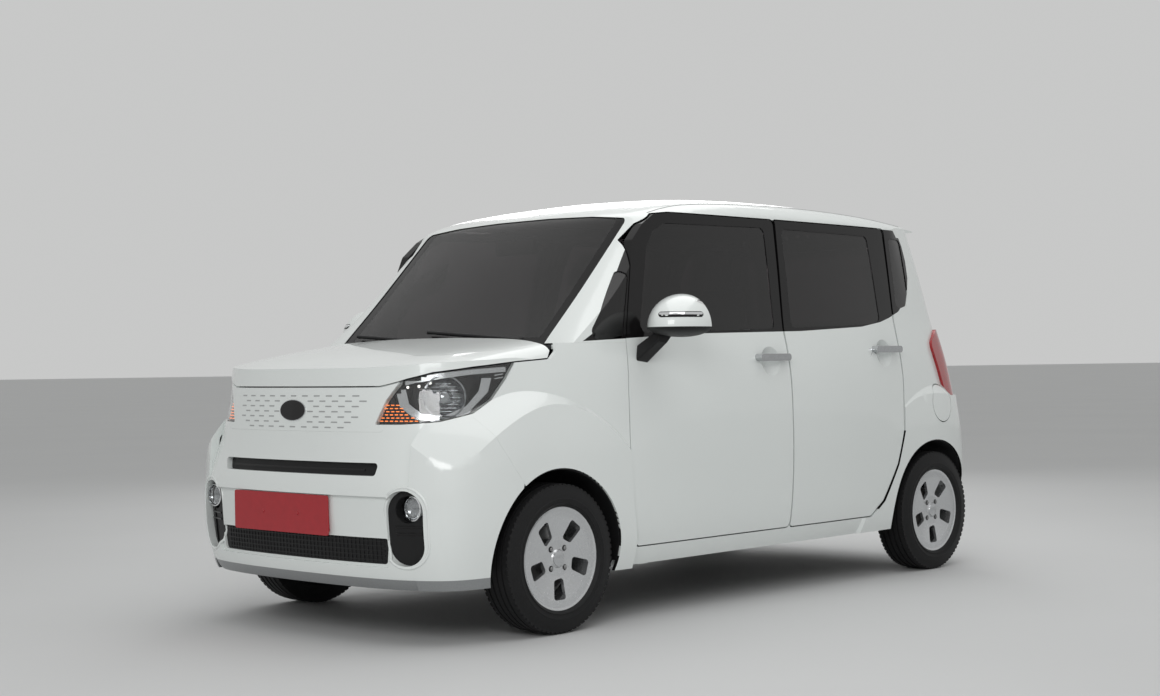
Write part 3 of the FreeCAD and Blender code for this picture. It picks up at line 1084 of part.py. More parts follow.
def make_running_gear():
    """Knuckles, subframe and arms, engine, radiator, rear axle, tank and exhaust."""
    save("knuckle_left", knuckle(LEFT))
    save("knuckle_right", knuckle(RIGHT))

    x0, x1, y1, z0, z1 = SUBFRAME_SHARES
    frame = slab((x0, x1, -y1, y1, z0, z1), BLOCK_CORNER)
    engine_low = at_z(ENGINE_SHARES[4])
    pieces = [frame]
    mid_x = (at_x(x0) + at_x(x1)) / 2
    for side in (LEFT, RIGHT):
        foot = kingpin_point(side, at_z(KINGPIN_FOOT_SHARES[1]))
        arm_end = V(foot.x, foot.y - side * (BALL_RADIUS + SEAT_GAP), foot.z)
        for root in (x0, x1):
            root_x = at_x(root) + (BLOCK_CORNER if root == x0 else -BLOCK_CORNER)
            pieces.append(rod(V(root_x, side * (at_y(y1) - BLOCK_CORNER), at_z(z0) + CONTROL_ARM_RADIUS), arm_end,
                              CONTROL_ARM_RADIUS * 0.8))
        pieces.append(rod(V(mid_x, side * at_y(y1) / 2, at_z(z0)), V(mid_x, side * at_y(y1) / 2, engine_low - SEAT_GAP),
                          MOUNT_RADIUS))
        rail_mid = side * at_y((RAIL_SHARES[0] + RAIL_SHARES[1]) / 2)
        for post_x in (at_x(x0) + BLOCK_CORNER, at_x(x1) - BLOCK_CORNER):
            pieces.append(rod(V(post_x, rail_mid, at_z(z0)), V(post_x, rail_mid, at_z(RAIL_SHARES[2]) - SEAT_GAP),
                              MOUNT_RADIUS * 0.8))
            pieces.append(box(post_x - MOUNT_RADIUS / 2, post_x + MOUNT_RADIUS / 2, min(0, rail_mid), max(0, rail_mid),
                              at_z(z0), at_z(z1)))
    wedge = [Part.makeSphere(BALL_RADIUS + SEAT_GAP, kingpin_point(side, at_z(KINGPIN_FOOT_SHARES[1])))
             for side in (LEFT, RIGHT)]
    save("front_subframe", cut_all(joined(pieces), wedge))
    save("engine_block", slab(ENGINE_SHARES, BLOCK_CORNER))
    back, low, high = RADIATOR_SHARES
    half = at_y(RAIL_SHARES[0]) - SEAT_GAP
    core = box(at_x(NOSE_FRAME_SHARES[1]) + SEAT_GAP, at_x(back), -half, half, at_z(low), at_z(high))
    save("radiator", core)

    beam_x, beam_y, beam_z = at_x(BEAM_SHARES[0]), at_y(BEAM_SHARES[1]), at_z(BEAM_SHARES[2])
    pieces = [rod(V(beam_x, -beam_y, beam_z), V(beam_x, beam_y, beam_z), BEAM_RADIUS)]
    px_, py_, pz_ = at_x(TRAIL_PIVOT_SHARES[0]), at_y(TRAIL_PIVOT_SHARES[1]), at_z(TRAIL_PIVOT_SHARES[2])
    floor_low = at_z(REAR_FLOOR_SHARES[2])
    for side in (LEFT, RIGHT):
        hub_in = V(X_REAR_AXLE, side * (beam_y + 2 * BEAM_RADIUS), AXLE_HEIGHT)
        pad = V(X_REAR_AXLE, side * (WHEEL_PLANE + HUB_OFFSET - SEAT_GAP), AXLE_HEIGHT)
        pieces.append(rod(V(px_, side * py_, pz_), V(beam_x, side * beam_y, beam_z), TRAIL_RADIUS))
        pieces.append(rod(V(beam_x, side * beam_y, beam_z), hub_in, TRAIL_RADIUS))
        pieces.append(rod(hub_in, pad, HUB_RADIUS))
        pieces.append(rod(V(px_, side * py_, pz_), V(px_, side * py_, floor_low - SEAT_GAP), TRAIL_RADIUS))
        sx, sy = at_x(REAR_SPRING_SHARES[0]), side * at_y(REAR_SPRING_SHARES[1])
        pieces.append(rod(V(sx, sy, beam_z), V(sx, sy, floor_low - SEAT_GAP), SPRING_RADIUS * 0.8))
    save("rear_axle", joined(pieces))

    tx0, tx1, ty, tz0 = TANK_SHARES
    tank = slab((tx0, tx1, -ty, ty, tz0, FLOOR_SHARES[2]), TANK_CORNER)
    low_cut = box(X_FRONT, X_REAR, -WIDTH, WIDTH, at_z(FLOOR_SHARES[2]) - SEAT_GAP, HEIGHT)
    save("fuel_tank", tank.cut(low_cut))

    side_y = at_y(PIPE_SIDE_SHARE)
    down = [V(at_x(x), at_y(y), at_z(z)) for x, y, z in DOWN_PIPE_SHARES]
    start = V(down[0].x, down[0].y, engine_low - SEAT_GAP)
    route = [V(at_x(x), side_y, at_z(z)) for x, z in PIPE_SHARES]
    points = [start] + down[1:] + route
    pieces = [rod(a, b, PIPE_RADIUS) for a, b in zip(points, points[1:])]
    pieces += [Part.makeSphere(PIPE_RADIUS, p) for p in points[1:-1]]
    muffler = slab(MUFFLER_SHARES, BLOCK_CORNER)
    my = at_y((MUFFLER_SHARES[2] + MUFFLER_SHARES[3]) / 2)
    tail = rod(*[V(at_x(x), my, at_z(z)) for x, z in TAIL_PIPE_SHARES], PIPE_RADIUS)
    pieces += [muffler, tail]
    for share in HANGER_SHARES:
        x = at_x(share)
        pieces.append(box(x - HANGER / 2, x + HANGER / 2, side_y - HANGER / 2, side_y + HANGER / 2, route[0].z,
                          at_z(FLOOR_SHARES[2]) - SEAT_GAP))
    x = at_x((MUFFLER_SHARES[0] + MUFFLER_SHARES[1]) / 2)
    pieces.append(box(x - HANGER / 2, x + HANGER / 2, my - HANGER / 2, my + HANGER / 2, points[-1].z,
                      floor_low - SEAT_GAP))
    save("exhaust", joined(pieces))


# Cabin
SEAT_SIDE_SHARE = .4326
SEAT_WIDTH = 480.0
SEAT_ROUND = 40.0
SEAT_CUSHION_SHARES = [(.3571, .2471), (.3532, .3176), (.5317, .3), (.5476, .2471)]
SEAT_BACK_SHARES = [(.5238, .2588), (.5159, .3294), (.5714, .6588), (.6111, .6588), (.5714, .2529)]
HEADREST_SHARES = [(.5762, .6824), (.5833, .7765), (.619, .7765), (.619, .6824)]
HEADREST_WIDTH = 260.0
HEADREST_POST = 8.0
SEAT_BASE_SHARES = [(.381, .1765), (.381, .2588), (.5317, .2588), (.5317, .1765)]
BENCH_SHARES = [(.75, .2588), (.746, .3353), (.9087, .3176), (.9563, .6353), (.9921, .6353), (.9524, .2765),
                (.9444, .2688)]
BENCH_HALF_SHARE = .7022
DASH_SHARES = [(.0933, .6082), (.1746, .5929), (.2222, .5694), (.2333, .5294), (.2143, .4471), (.1865, .3647),
               (.0933, .3529)]
DASH_CORNER = 24.0
WHEEL_CENTRE_SHARES = (.2944, -.4414, .5635)
COLUMN_TILT = 25.0
COLUMN_RADIUS = 28.0
STEERING_RING = 180.0
STEERING_GRIP = 14.0
STEERING_HUB = 58.0
STEERING_SPOKES = (0, 180, 270)


def column_axis():
    """Direction from the dashboard to the driver."""
    tilt = math.radians(COLUMN_TILT)
    return V(math.cos(tilt), 0, math.sin(tilt))


def make_cabin():
    """Seats, dashboard with column, and steering wheel."""
    floor_top = at_z(FLOOR_SHARES[2]) + FLOOR_THICKNESS + SEAT_GAP
    seats = []
    for side in (LEFT, RIGHT):
        y = side * at_y(SEAT_SIDE_SHARE)
        half, head = SEAT_WIDTH / 2, HEADREST_WIDTH / 2
        base_points = side_points(SEAT_BASE_SHARES)
        base_points = [(x, floor_top if z == base_points[0][1] else z) for x, z in base_points]
        pieces = [prism(side_points(SEAT_CUSHION_SHARES), "side", y - half, y + half, SEAT_ROUND),
                  prism(side_points(SEAT_BACK_SHARES), "side", y - half, y + half, SEAT_ROUND),
                  prism(side_points(HEADREST_SHARES), "side", y - head, y + head, SEAT_ROUND),
                  prism(base_points, "side", y - head, y + head)]
        neck_x = at_x((SEAT_BACK_SHARES[2][0] + SEAT_BACK_SHARES[3][0]) / 2)
        for step in (LEFT, RIGHT):
            post_y = y + step * head / 2
            pieces.append(rod(V(neck_x, post_y, at_z(.6353)), V(neck_x, post_y, at_z(.7059)), HEADREST_POST))
        seats.append(joined(pieces))
    save("front_seats", *seats)
    bench_half = at_y(BENCH_HALF_SHARE)
    rear_top = at_z(REAR_FLOOR_SHARES[2]) + FLOOR_THICKNESS + SEAT_GAP
    bench = prism(side_points(BENCH_SHARES), "side", -bench_half, bench_half, SEAT_ROUND / 2)
    bench = bench.cut(box(at_x(REAR_FLOOR_SHARES[0]) - SEAT_GAP, X_REAR, -WIDTH, WIDTH, 0, rear_top))
    skirt = box(at_x(.7659), at_x(REAR_FLOOR_SHARES[0]) - SEAT_GAP, -bench_half, bench_half, floor_top, at_z(.2941))
    save("rear_bench", joined([bench, skirt]))

    centre = V(at_x(WHEEL_CENTRE_SHARES[0]), at_y(WHEEL_CENTRE_SHARES[1]), at_z(WHEEL_CENTRE_SHARES[2]))
    axis = column_axis()
    fit = SIDE_THICKNESS + DOOR_RING + PANEL_GAP
    dash = prism(side_points(DASH_SHARES), "side", -HALF_WIDTH, HALF_WIDTH, DASH_CORNER).common(Form.get("plain", fit))
    dash = dash.cut(box(X_FRONT, at_x(FIREWALL_SHARE) + FIREWALL_THICKNESS + SEAT_GAP, -WIDTH, WIDTH, 0, HEIGHT))
    column = rod(centre - axis * STEERING_RING * 1.6, centre - axis * (STEERING_GRIP + SEAT_GAP), COLUMN_RADIUS)
    save("dashboard", joined([dash, column]))
    hoop = Part.makeTorus(STEERING_RING, STEERING_GRIP, centre, axis)
    hub = rod(centre - axis * STEERING_GRIP, centre + axis * STEERING_GRIP * 2, STEERING_HUB)
    pieces = [hoop, hub]
    side_way, up_way = V(0, 1, 0), axis.cross(V(0, 1, 0))
    for angle in STEERING_SPOKES:
        turn = math.radians(angle)
        way = side_way * math.cos(turn) - up_way * math.sin(turn)
        pieces.append(rod(centre, centre + way * STEERING_RING, STEERING_GRIP * 0.8))
    save("steering_wheel", joined(pieces))


WIPER_SHARES = [(-.652, .6365, .0878, .6612), (-.0251, .6365, .652, .6565)]
WIPER_RADIUS = 7.0
WIPER_KNUCKLE = 8.0
WIPER_LIFT = 13.0
WIPER_ROOT_SHARE = .0262
WIPER_STEPS = 4
PIVOT_RADIUS = 9.0


def screen_x(y, z, inset):
    """X of the windscreen's surface at this place."""
    line = Part.makeLine(V(X_FRONT, y, z), V(0, y, z))
    return line.common(Form.get("cabin", inset)).BoundBox.XMin


def make_trim():
    """Wipers parked at the foot of the windscreen."""
    arms = []
    cowl_top = at_z(COWL_SHARES[2][1]) + SEAT_GAP
    for y0, z0, y1, z1 in WIPER_SHARES:
        points = [V(at_x(WIPER_ROOT_SHARE), at_y(y0), at_z(z0))]
        for i in range(1, WIPER_STEPS + 1):
            y, z = at_y(y0 + (y1 - y0) * i / WIPER_STEPS), at_z(z0 + (z1 - z0) * i / WIPER_STEPS)
            points.append(V(screen_x(y, z, -WIPER_LIFT), y, z))
        pieces = [rod(a, b, WIPER_RADIUS) for a, b in zip(points, points[1:])]
        pieces += [Part.makeSphere(WIPER_KNUCKLE, p) for p in points[1:-1]]
        root = points[0]
        pieces.append(rod(V(root.x, root.y, cowl_top), V(root.x, root.y, root.z + WIPER_RADIUS), PIVOT_RADIUS))
        arms.append(joined(pieces))
    save("wipers", *arms)


if __name__ == "__main__":
    os.makedirs("parts", exist_ok=True)
    make_front_end()
    make_sides()
    make_structure()
    make_wheels()
    make_running_gear()
    make_cabin()
    make_trim()
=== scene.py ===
"""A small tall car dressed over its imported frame: paint, glass, lamps, trim, seats and tyres.

Everything is in metres in the frame's own axes: +X towards the rear, +Y to the car's right, +Z up.
"""
import logging
import math
from dataclasses import dataclass, field
from enum import Enum
from typing import Iterable, Sequence

import bmesh
import bpy
from mathutils import Matrix, Vector, geometry
from mathutils.bvhtree import BVHTree


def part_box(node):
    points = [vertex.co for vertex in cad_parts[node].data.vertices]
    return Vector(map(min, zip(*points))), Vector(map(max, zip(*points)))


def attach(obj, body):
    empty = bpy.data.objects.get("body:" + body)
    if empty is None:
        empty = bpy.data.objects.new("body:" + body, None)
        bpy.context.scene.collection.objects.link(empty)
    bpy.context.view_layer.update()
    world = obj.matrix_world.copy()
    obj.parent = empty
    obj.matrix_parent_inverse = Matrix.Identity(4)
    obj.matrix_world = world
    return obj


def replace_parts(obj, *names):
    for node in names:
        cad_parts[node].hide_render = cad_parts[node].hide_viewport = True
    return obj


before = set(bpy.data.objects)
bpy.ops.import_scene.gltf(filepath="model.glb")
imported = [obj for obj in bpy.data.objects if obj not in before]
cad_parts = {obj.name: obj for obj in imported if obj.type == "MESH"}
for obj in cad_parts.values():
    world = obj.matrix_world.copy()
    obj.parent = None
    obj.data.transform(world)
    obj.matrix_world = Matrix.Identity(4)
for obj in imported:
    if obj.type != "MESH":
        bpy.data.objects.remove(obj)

LOG = logging.getLogger("kei_car")
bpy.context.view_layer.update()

FRONT_AXLE = -1.160
REAR_AXLE = 1.360
WHEEL_Y = 0.704
WHEEL_Z = 0.2768
LEFT, RIGHT = -1, 1
RAY_START = 3.0
MERGE_WITHIN = 0.00004
ARCH_REACH, ARCH_INNER, ARCH_TOP = 0.47, 0.40, 0.66
Outline = Sequence[tuple[float, float]]


class Look(Enum):
    """Which way an outline faces: the axis it is pushed along, then its first and second coordinate's axes."""

    FRONT = ((1.0, 0.0, 0.0), (0.0, 1.0, 0.0), (0.0, 0.0, 1.0))
    REAR = ((-1.0, 0.0, 0.0), (0.0, 1.0, 0.0), (0.0, 0.0, 1.0))
    FROM_LEFT = ((0.0, 1.0, 0.0), (1.0, 0.0, 0.0), (0.0, 0.0, 1.0))
    CORNER = ((0.7248, 0.6890, 0.0), (0.6890, -0.7248, 0.0), (0.0, 0.0, 1.0))

    @property
    def ahead(self) -> Vector:
        """The axis that an outline is pushed along."""
        return Vector(self.value[0])

    def place(self, u: float, v: float, depth: float = 0.0) -> Vector:
        """Put a point of a flat outline in the frame.

        Args:
            u: First coordinate.
            v: Second coordinate.
            depth: Place along the looking axis.

        Returns:
            The point in metres.
        """
        return Vector(self.value[1]) * u + Vector(self.value[2]) * v + self.ahead * depth

    def flat(self, spot: Vector) -> tuple[float, float]:
        """The flat coordinates of a point in the frame."""
        return spot.dot(Vector(self.value[1])), spot.dot(Vector(self.value[2]))


class Surface:
    """A material's node tree round one principled shader."""

    def __init__(self, name: str) -> None:
        """Start a material with its shader and object coordinates.

        Args:
            name: The material's name.
        """
        self.material = bpy.data.materials.new(name)
        self.material.use_nodes = True
        self.tree = self.material.node_tree
        self.shader = self.tree.nodes["Principled BSDF"]
        self.coordinates = self.node("ShaderNodeTexCoord").outputs["Object"]

    def node(self, kind: str, **settings: object) -> bpy.types.Node:
        """Add a node.

        Args:
            kind: The node's type name.
            settings: Attributes to set on it.

        Returns:
            The node.
        """
        made = self.tree.nodes.new(kind)
        for key, value in settings.items():
            setattr(made, key, value)
        return made

    def join(self, source: bpy.types.NodeSocket, target: bpy.types.NodeSocket) -> None:
        """Link an output to an input."""
        self.tree.links.new(source, target)

    def set(self, **sockets: object) -> "Surface":
        """Set the shader's own sockets, named with underscores for spaces."""
        for key, value in sockets.items():
            self.shader.inputs[key.replace("_", " ")].default_value = value
        return self

    def noise(self, scale: float, detail: float = 3.0, stretch: Sequence[float] = (1, 1, 1)) -> bpy.types.NodeSocket:
        """A noise pattern on the object's own coordinates.

        Args:
            scale: Waves in a metre, roughly.
            detail: How many finer layers it has.
            stretch: Scale along each axis.

        Returns:
            The pattern's factor output.
        """
        mapping = self.node("ShaderNodeMapping")
        mapping.inputs["Scale"].default_value = stretch
        self.join(self.coordinates, mapping.inputs["Vector"])
        pattern = self.node("ShaderNodeTexNoise")
        pattern.inputs["Scale"].default_value = scale
        pattern.inputs["Detail"].default_value = detail
        self.join(mapping.outputs["Vector"], pattern.inputs["Vector"])
        return pattern.outputs["Fac"]

    def tint(self, factor: bpy.types.NodeSocket, low: Sequence[float], high: Sequence[float],
             span: tuple[float, float] = (0.3, 0.7)) -> None:
        """Colour the surface between two colours by a pattern.

        Args:
            factor: The pattern.
            low: Colour where the pattern is low.
            high: Colour where it is high.
            span: Where the ramp starts and ends.
        """
        ramp = self.node("ShaderNodeValToRGB")
        ramp.color_ramp.elements[0].position, ramp.color_ramp.elements[1].position = span
        ramp.color_ramp.elements[0].color = (*low, 1)
        ramp.color_ramp.elements[1].color = (*high, 1)
        self.join(factor, ramp.inputs["Fac"])
        self.join(ramp.outputs["Color"], self.shader.inputs["Base Color"])

    def vary_roughness(self, factor: bpy.types.NodeSocket, low: float, high: float) -> None:
        """Let roughness run between two values by a pattern."""
        spread = self.node("ShaderNodeMapRange")
        spread.inputs["To Min"].default_value = low
        spread.inputs["To Max"].default_value = high
        self.join(factor, spread.inputs["Value"])
        self.join(spread.outputs["Result"], self.shader.inputs["Roughness"])

    def bump(self, height: bpy.types.NodeSocket, strength: float, distance: float) -> None:
        """Raise the surface by a pattern.

        Args:
            height: The pattern.
            strength: From 0 to 1.
            distance: How high, in metres.
        """
        bump = self.node("ShaderNodeBump")
        bump.inputs["Strength"].default_value = strength
        bump.inputs["Distance"].default_value = distance
        self.join(height, bump.inputs["Height"])
        self.join(bump.outputs["Normal"], self.shader.inputs["Normal"])


@dataclass(frozen=True)
class Finish:
    """A finish with a fine pattern in its colour, its roughness and its surface."""

    name: str
    colour: tuple[float, float, float]
    roughness: float = 0.5
    metal: float = 0.0
    coat: float = 0.0
    grain: float = 60.0
    grain_height: float = 0.0
    mottle: float = 0.06
    stretch: tuple[float, float, float] = (1, 1, 1)
    glow: float = 0.0
    clear: float = 0.0
    specular: float = 0.5

    def build(self) -> bpy.types.Material:
        """Make the material.

        Returns:
            The material, ready to assign.
        """
        surface = Surface(self.name)
        surface.set(Metallic=self.metal, Coat_Weight=self.coat, Coat_Roughness=0.04, IOR=1.5,
                    Specular_IOR_Level=self.specular)
        pattern = surface.noise(self.grain, 4.0, self.stretch)
        low = tuple(c * (1 - self.mottle) for c in self.colour)
        high = tuple(min(c * (1 + self.mottle), 1.0) for c in self.colour)
        surface.tint(pattern, low, high)
        surface.vary_roughness(pattern, self.roughness * 0.85, min(self.roughness * 1.15, 1.0))
        if self.grain_height:
            surface.bump(pattern, 0.6, self.grain_height)
        if self.glow:
            surface.set(Emission_Color=(*self.colour, 1), Emission_Strength=self.glow)
        if self.clear:
            surface.set(Transmission_Weight=self.clear)
        return surface.material


@dataclass(frozen=True)
class Paint(Finish):
    """Glossy coach paint: an even colour under a clear coat with a faint ripple."""

    def build(self) -> bpy.types.Material:
        """Make the material.

        Returns:
            The material, ready to assign.
        """
        surface = Surface(self.name)
        surface.set(Metallic=0.0, Coat_Weight=self.coat, Coat_Roughness=0.03, IOR=1.5)
        cloud = surface.noise(1.4, 2.0)
        surface.tint(cloud, tuple(c * (1 - self.mottle) for c in self.colour), self.colour, (0.25, 0.75))
        surface.vary_roughness(surface.noise(260.0, 2.0), self.roughness * 0.9, self.roughness * 1.1)
        surface.bump(surface.noise(380.0, 1.0), 0.05, 0.0004)
        return surface.material


@dataclass(frozen=True)
class Weave(Finish):
    """Seat cloth: two crossed sets of threads with sheen."""

    def build(self) -> bpy.types.Material:
        """Make the material.

        Returns:
            The material, ready to assign.
        """
        surface = Surface(self.name)
        surface.set(Sheen_Weight=0.4, IOR=1.45)
        waves = []
        for direction in ("X", "Z"):
            wave = surface.node("ShaderNodeTexWave", wave_type="BANDS", bands_direction=direction)
            wave.inputs["Scale"].default_value = self.grain
            wave.inputs["Distortion"].default_value = 0.6
            surface.join(surface.coordinates, wave.inputs["Vector"])
            waves.append(wave.outputs["Fac"])
        crossed = surface.node("ShaderNodeMath", operation="MULTIPLY")
        surface.join(waves[0], crossed.inputs[0])
        surface.join(waves[1], crossed.inputs[1])
        surface.tint(crossed.outputs[0], tuple(c * 0.7 for c in self.colour), self.colour, (0.0, 0.8))
        surface.bump(crossed.outputs[0], 0.5, self.grain_height)
        surface.set(Roughness=self.roughness)
        return surface.material


class Finishes:
    """All finishes of the car, made once each."""

    TABLE = (
        Paint("white_paint", (0.80, 0.835, 0.82), 0.26, coat=0.7, mottle=0.02),
        Finish("tinted_glass", (0.070, 0.060, 0.064), 0.02, grain=3.0, mottle=0.1, clear=1.0, specular=0.22),
        Finish("screen_glass", (0.17, 0.16, 0.165), 0.02, grain=3.0, mottle=0.1, clear=1.0, specular=0.2),
        Finish("black_gloss", (0.008, 0.0075, 0.0078), 0.12, grain=120.0, mottle=0.15, specular=0.3),
        Finish("black_plastic", (0.012, 0.012, 0.0125), 0.5, grain=900.0, grain_height=0.00012, mottle=0.2,
               specular=0.25),
        Finish("arch_dark", (0.008, 0.008, 0.008), 0.8, grain=40.0, mottle=0.2, specular=0.1),
        Finish("silver_trim", (0.55, 0.56, 0.57), 0.22, metal=0.9, grain=200.0, mottle=0.04),
        Finish("grey_lip", (0.30, 0.31, 0.315), 0.35, metal=0.4, grain=200.0, mottle=0.05),
        Finish("chrome", (0.82, 0.83, 0.84), 0.07, metal=1.0, grain=30.0, mottle=0.02),
        Finish("clear_lens", (0.97, 0.98, 0.98), 0.02, grain=5.0, mottle=0.01, clear=1.0),
        Finish("red_lens", (0.36, 0.006, 0.010), 0.10, coat=0.6, grain=90.0, mottle=0.12),
        Finish("amber_lamp", (1.0, 0.22, 0.03), 0.3, glow=1.3, grain=400.0, mottle=0.05),
        Finish("satin_chrome", (0.50, 0.51, 0.52), 0.14, metal=1.0, grain=60.0, mottle=0.05),
        Finish("smoked_chrome", (0.34, 0.35, 0.36), 0.16, metal=1.0, grain=60.0, mottle=0.3),
        Finish("red_plate", (0.40, 0.008, 0.016), 0.30, coat=0.3, grain=35.0, mottle=0.05),
        Finish("alloy", (0.60, 0.61, 0.62), 0.26, metal=0.85, coat=0.3, grain=150.0, mottle=0.03),
        Finish("cast_alloy", (0.32, 0.33, 0.34), 0.5, metal=0.7, grain=300.0, grain_height=0.0003, mottle=0.1),
        Finish("painted_steel", (0.045, 0.046, 0.048), 0.45, grain=30.0, grain_height=0.0002, mottle=0.3),
        Finish("bright_steel", (0.42, 0.40, 0.37), 0.36, metal=0.9, grain=14.0, mottle=0.25, stretch=(0.3, 1, 1)),
        Finish("iron", (0.09, 0.085, 0.08), 0.62, metal=0.5, grain=70.0, grain_height=0.0004, mottle=0.3),
        Finish("tyre_rubber", (0.012, 0.012, 0.0125), 0.6, grain=160.0, grain_height=0.00015, mottle=0.25,
               specular=0.22),
        Finish("soft_trim", (0.035, 0.034, 0.036), 0.65, grain=700.0, grain_height=0.0002, mottle=0.2),
        Finish("mirror_silver", (0.9, 0.9, 0.9), 0.02, metal=1.0, grain=3.0, mottle=0.01),
        Weave("seat_cloth", (0.060, 0.058, 0.062), 0.85, grain=260.0, grain_height=0.0006),
        # a mid grey that paints shade: the shade of the embossed dashes and of the roof ditches
        Paint("painted_shade_grey", (0.36, 0.37, 0.37), 0.3, coat=0.5, mottle=0.025),
        Finish("headlining", (0.42, 0.41, 0.39), 0.9, grain=500.0, grain_height=0.0004, mottle=0.08),
        Finish("grille_black", (0.010, 0.010, 0.0105), 0.4, grain=900.0, mottle=0.2, specular=0.3),
        Finish("lamp_black", (0.006, 0.006, 0.0065), 0.25, grain=300.0, mottle=0.2, specular=0.3),
        Finish("white_lamp", (1.0, 0.98, 0.94), 0.3, glow=1.2, grain=400.0, mottle=0.02),
        Finish("disc_iron", (0.28, 0.28, 0.28), 0.35, metal=0.9, grain=40.0, mottle=0.15),
        Finish("blank_plate", (0.55, 0.56, 0.55), 0.35, coat=0.3, grain=35.0, mottle=0.03),
        Finish("carpet", (0.03, 0.03, 0.032), 0.95, grain=420.0, grain_height=0.002, mottle=0.3),
    )
    made: dict[str, bpy.types.Material] = {}

    @classmethod
    def get(cls, name: str) -> bpy.types.Material:
        """Give a finish by name, making it when first asked for.

        Args:
            name: A name of the table.

        Returns:
            Its material.
        """
        if name not in cls.made:
            cls.made[name] = next(finish for finish in cls.TABLE if finish.name == name).build()
        return cls.made[name]


def finished(name: str, mesh: bmesh.types.BMesh, body: str, finishes: Sequence[str], smooth: float = 35.0,
             bevel: float = 0.0) -> bpy.types.Object:
    """Turn a bmesh into a piece of the car.

    Args:
        name: The piece's name.
        mesh: Its shape, which is freed.
        body: The body it rides on.
        finishes: The finishes of its material slots.
        smooth: Edges that bend more than this many degrees stay sharp.
        bevel: Width in metres of the rounding on sharp edges, or 0.

    Returns:
        The object, riding on its body.
    """
    limit = math.radians(smooth)
    for face in mesh.faces:
        face.smooth = True
    for edge in mesh.edges:
        edge.smooth = len(edge.link_faces) == 2 and edge.calc_face_angle(0.0) < limit
    data = bpy.data.meshes.new(name)
    mesh.to_mesh(data)
    mesh.free()
    piece = bpy.data.objects.new(name, data)
    bpy.context.scene.collection.objects.link(piece)
    for finish in finishes:
        data.materials.append(Finishes.get(finish))
    if bevel:
        rounding = piece.modifiers.new("rounding", "BEVEL")
        rounding.width = bevel
        rounding.segments = 2
        rounding.limit_method = "ANGLE"
        rounding.angle_limit = limit
        rounding.harden_normals = False
    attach(piece, body)
    LOG.info("%s rides on %s: %d faces", name, body, len(data.polygons))
    return piece


def fitted(name: str, mesh: bmesh.types.BMesh, finish: str, body: str = "body",
           smooth: float = 40.0) -> bpy.types.Object:
    """Make a piece of one finish.

    Args:
        name: The piece's name.
        mesh: Its shape, which is freed.
        finish: Its finish.
        body: The body it rides on.
        smooth: Edges that bend more than this many degrees stay sharp.

    Returns:
        The piece.
    """
    piece = finished(name, mesh, body, [finish], smooth)
    return piece


def dressed(node: str, mesh: bmesh.types.BMesh, body: str, finishes: Sequence[str], smooth: float) -> None:
    """Put a piece cut from a frame node's mesh in that node's place.

    Args:
        node: The node it stands for.
        mesh: Its shape, which is freed.
        body: The body it rides on.
        finishes: The finishes of its material slots.
        smooth: Edges that bend more than this many degrees stay sharp.
    """
    piece = finished("dressed_" + node, mesh, body, finishes, smooth)
    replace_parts(piece, node)


def node_copy(node: str) -> bmesh.types.BMesh:
    """A merged copy of a frame node's mesh.

    Args:
        node: The node's name.

    Returns:
        The copy.
    """
    mesh = bmesh.new()
    mesh.from_mesh(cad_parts[node].data)
    bmesh.ops.remove_doubles(mesh, verts=mesh.verts, dist=MERGE_WITHIN)
    return mesh


def node_tree(*nodes: str) -> BVHTree:
    """A tree of the faces of some frame nodes, for laying pieces on them.

    Args:
        nodes: The nodes' names.

    Returns:
        The tree.
    """
    vertices: list[Vector] = []
    polygons: list[list[int]] = []
    for node in nodes:
        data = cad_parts[node].data
        start = len(vertices)
        vertices += [vertex.co.copy() for vertex in data.vertices]
        polygons += [[start + i for i in polygon.vertices] for polygon in data.polygons]
    return BVHTree.FromPolygons(vertices, polygons)


def rounded(points: Outline, radius: float, steps: int = 5) -> list[tuple[float, float]]:
    """An outline with its corners rounded.

    Args:
        points: The corners, in order.
        radius: Radius wished for; short sides get less.
        steps: Points on each corner.

    Returns:
        The rounded outline.
    """
    result: list[tuple[float, float]] = []
    count = len(points)
    for i in range(count):
        corner = Vector(points[i])
        before, after = Vector(points[i - 1]) - corner, Vector(points[(i + 1) % count]) - corner
        half = before.angle(after) / 2
        reach = min(radius / max(math.tan(half), 1e-4), 0.49 * before.length, 0.49 * after.length)
        start, end = corner + before.normalized() * reach, corner + after.normalized() * reach
        for k in range(steps + 1):
            t = k / steps
            spot = start * (1 - t) ** 2 + corner * (2 * t * (1 - t)) + end * t ** 2
            result.append((spot.x, spot.y))
    return result


def stadium(centre: tuple[float, float], width: float, height: float, steps: int = 10) -> list[tuple[float, float]]:
    """A rectangle with fully round ends.

    Args:
        centre: Its middle.
        width: Its full width.
        height: Its full height.
        steps: Points on each half circle.

    Returns:
        The outline.
    """
    radius = min(width, height) / 2
    long_x, long_y = width / 2 - radius, height / 2 - radius
    result = []
    for k in range(2 * steps):
        angle = 2 * math.pi * (k + 0.5) / (2 * steps)
        x = math.cos(angle) * radius + math.copysign(long_x, math.cos(angle))
        y = math.sin(angle) * radius + math.copysign(long_y, math.sin(angle))
        result.append((centre[0] + x, centre[1] + y))
    return result


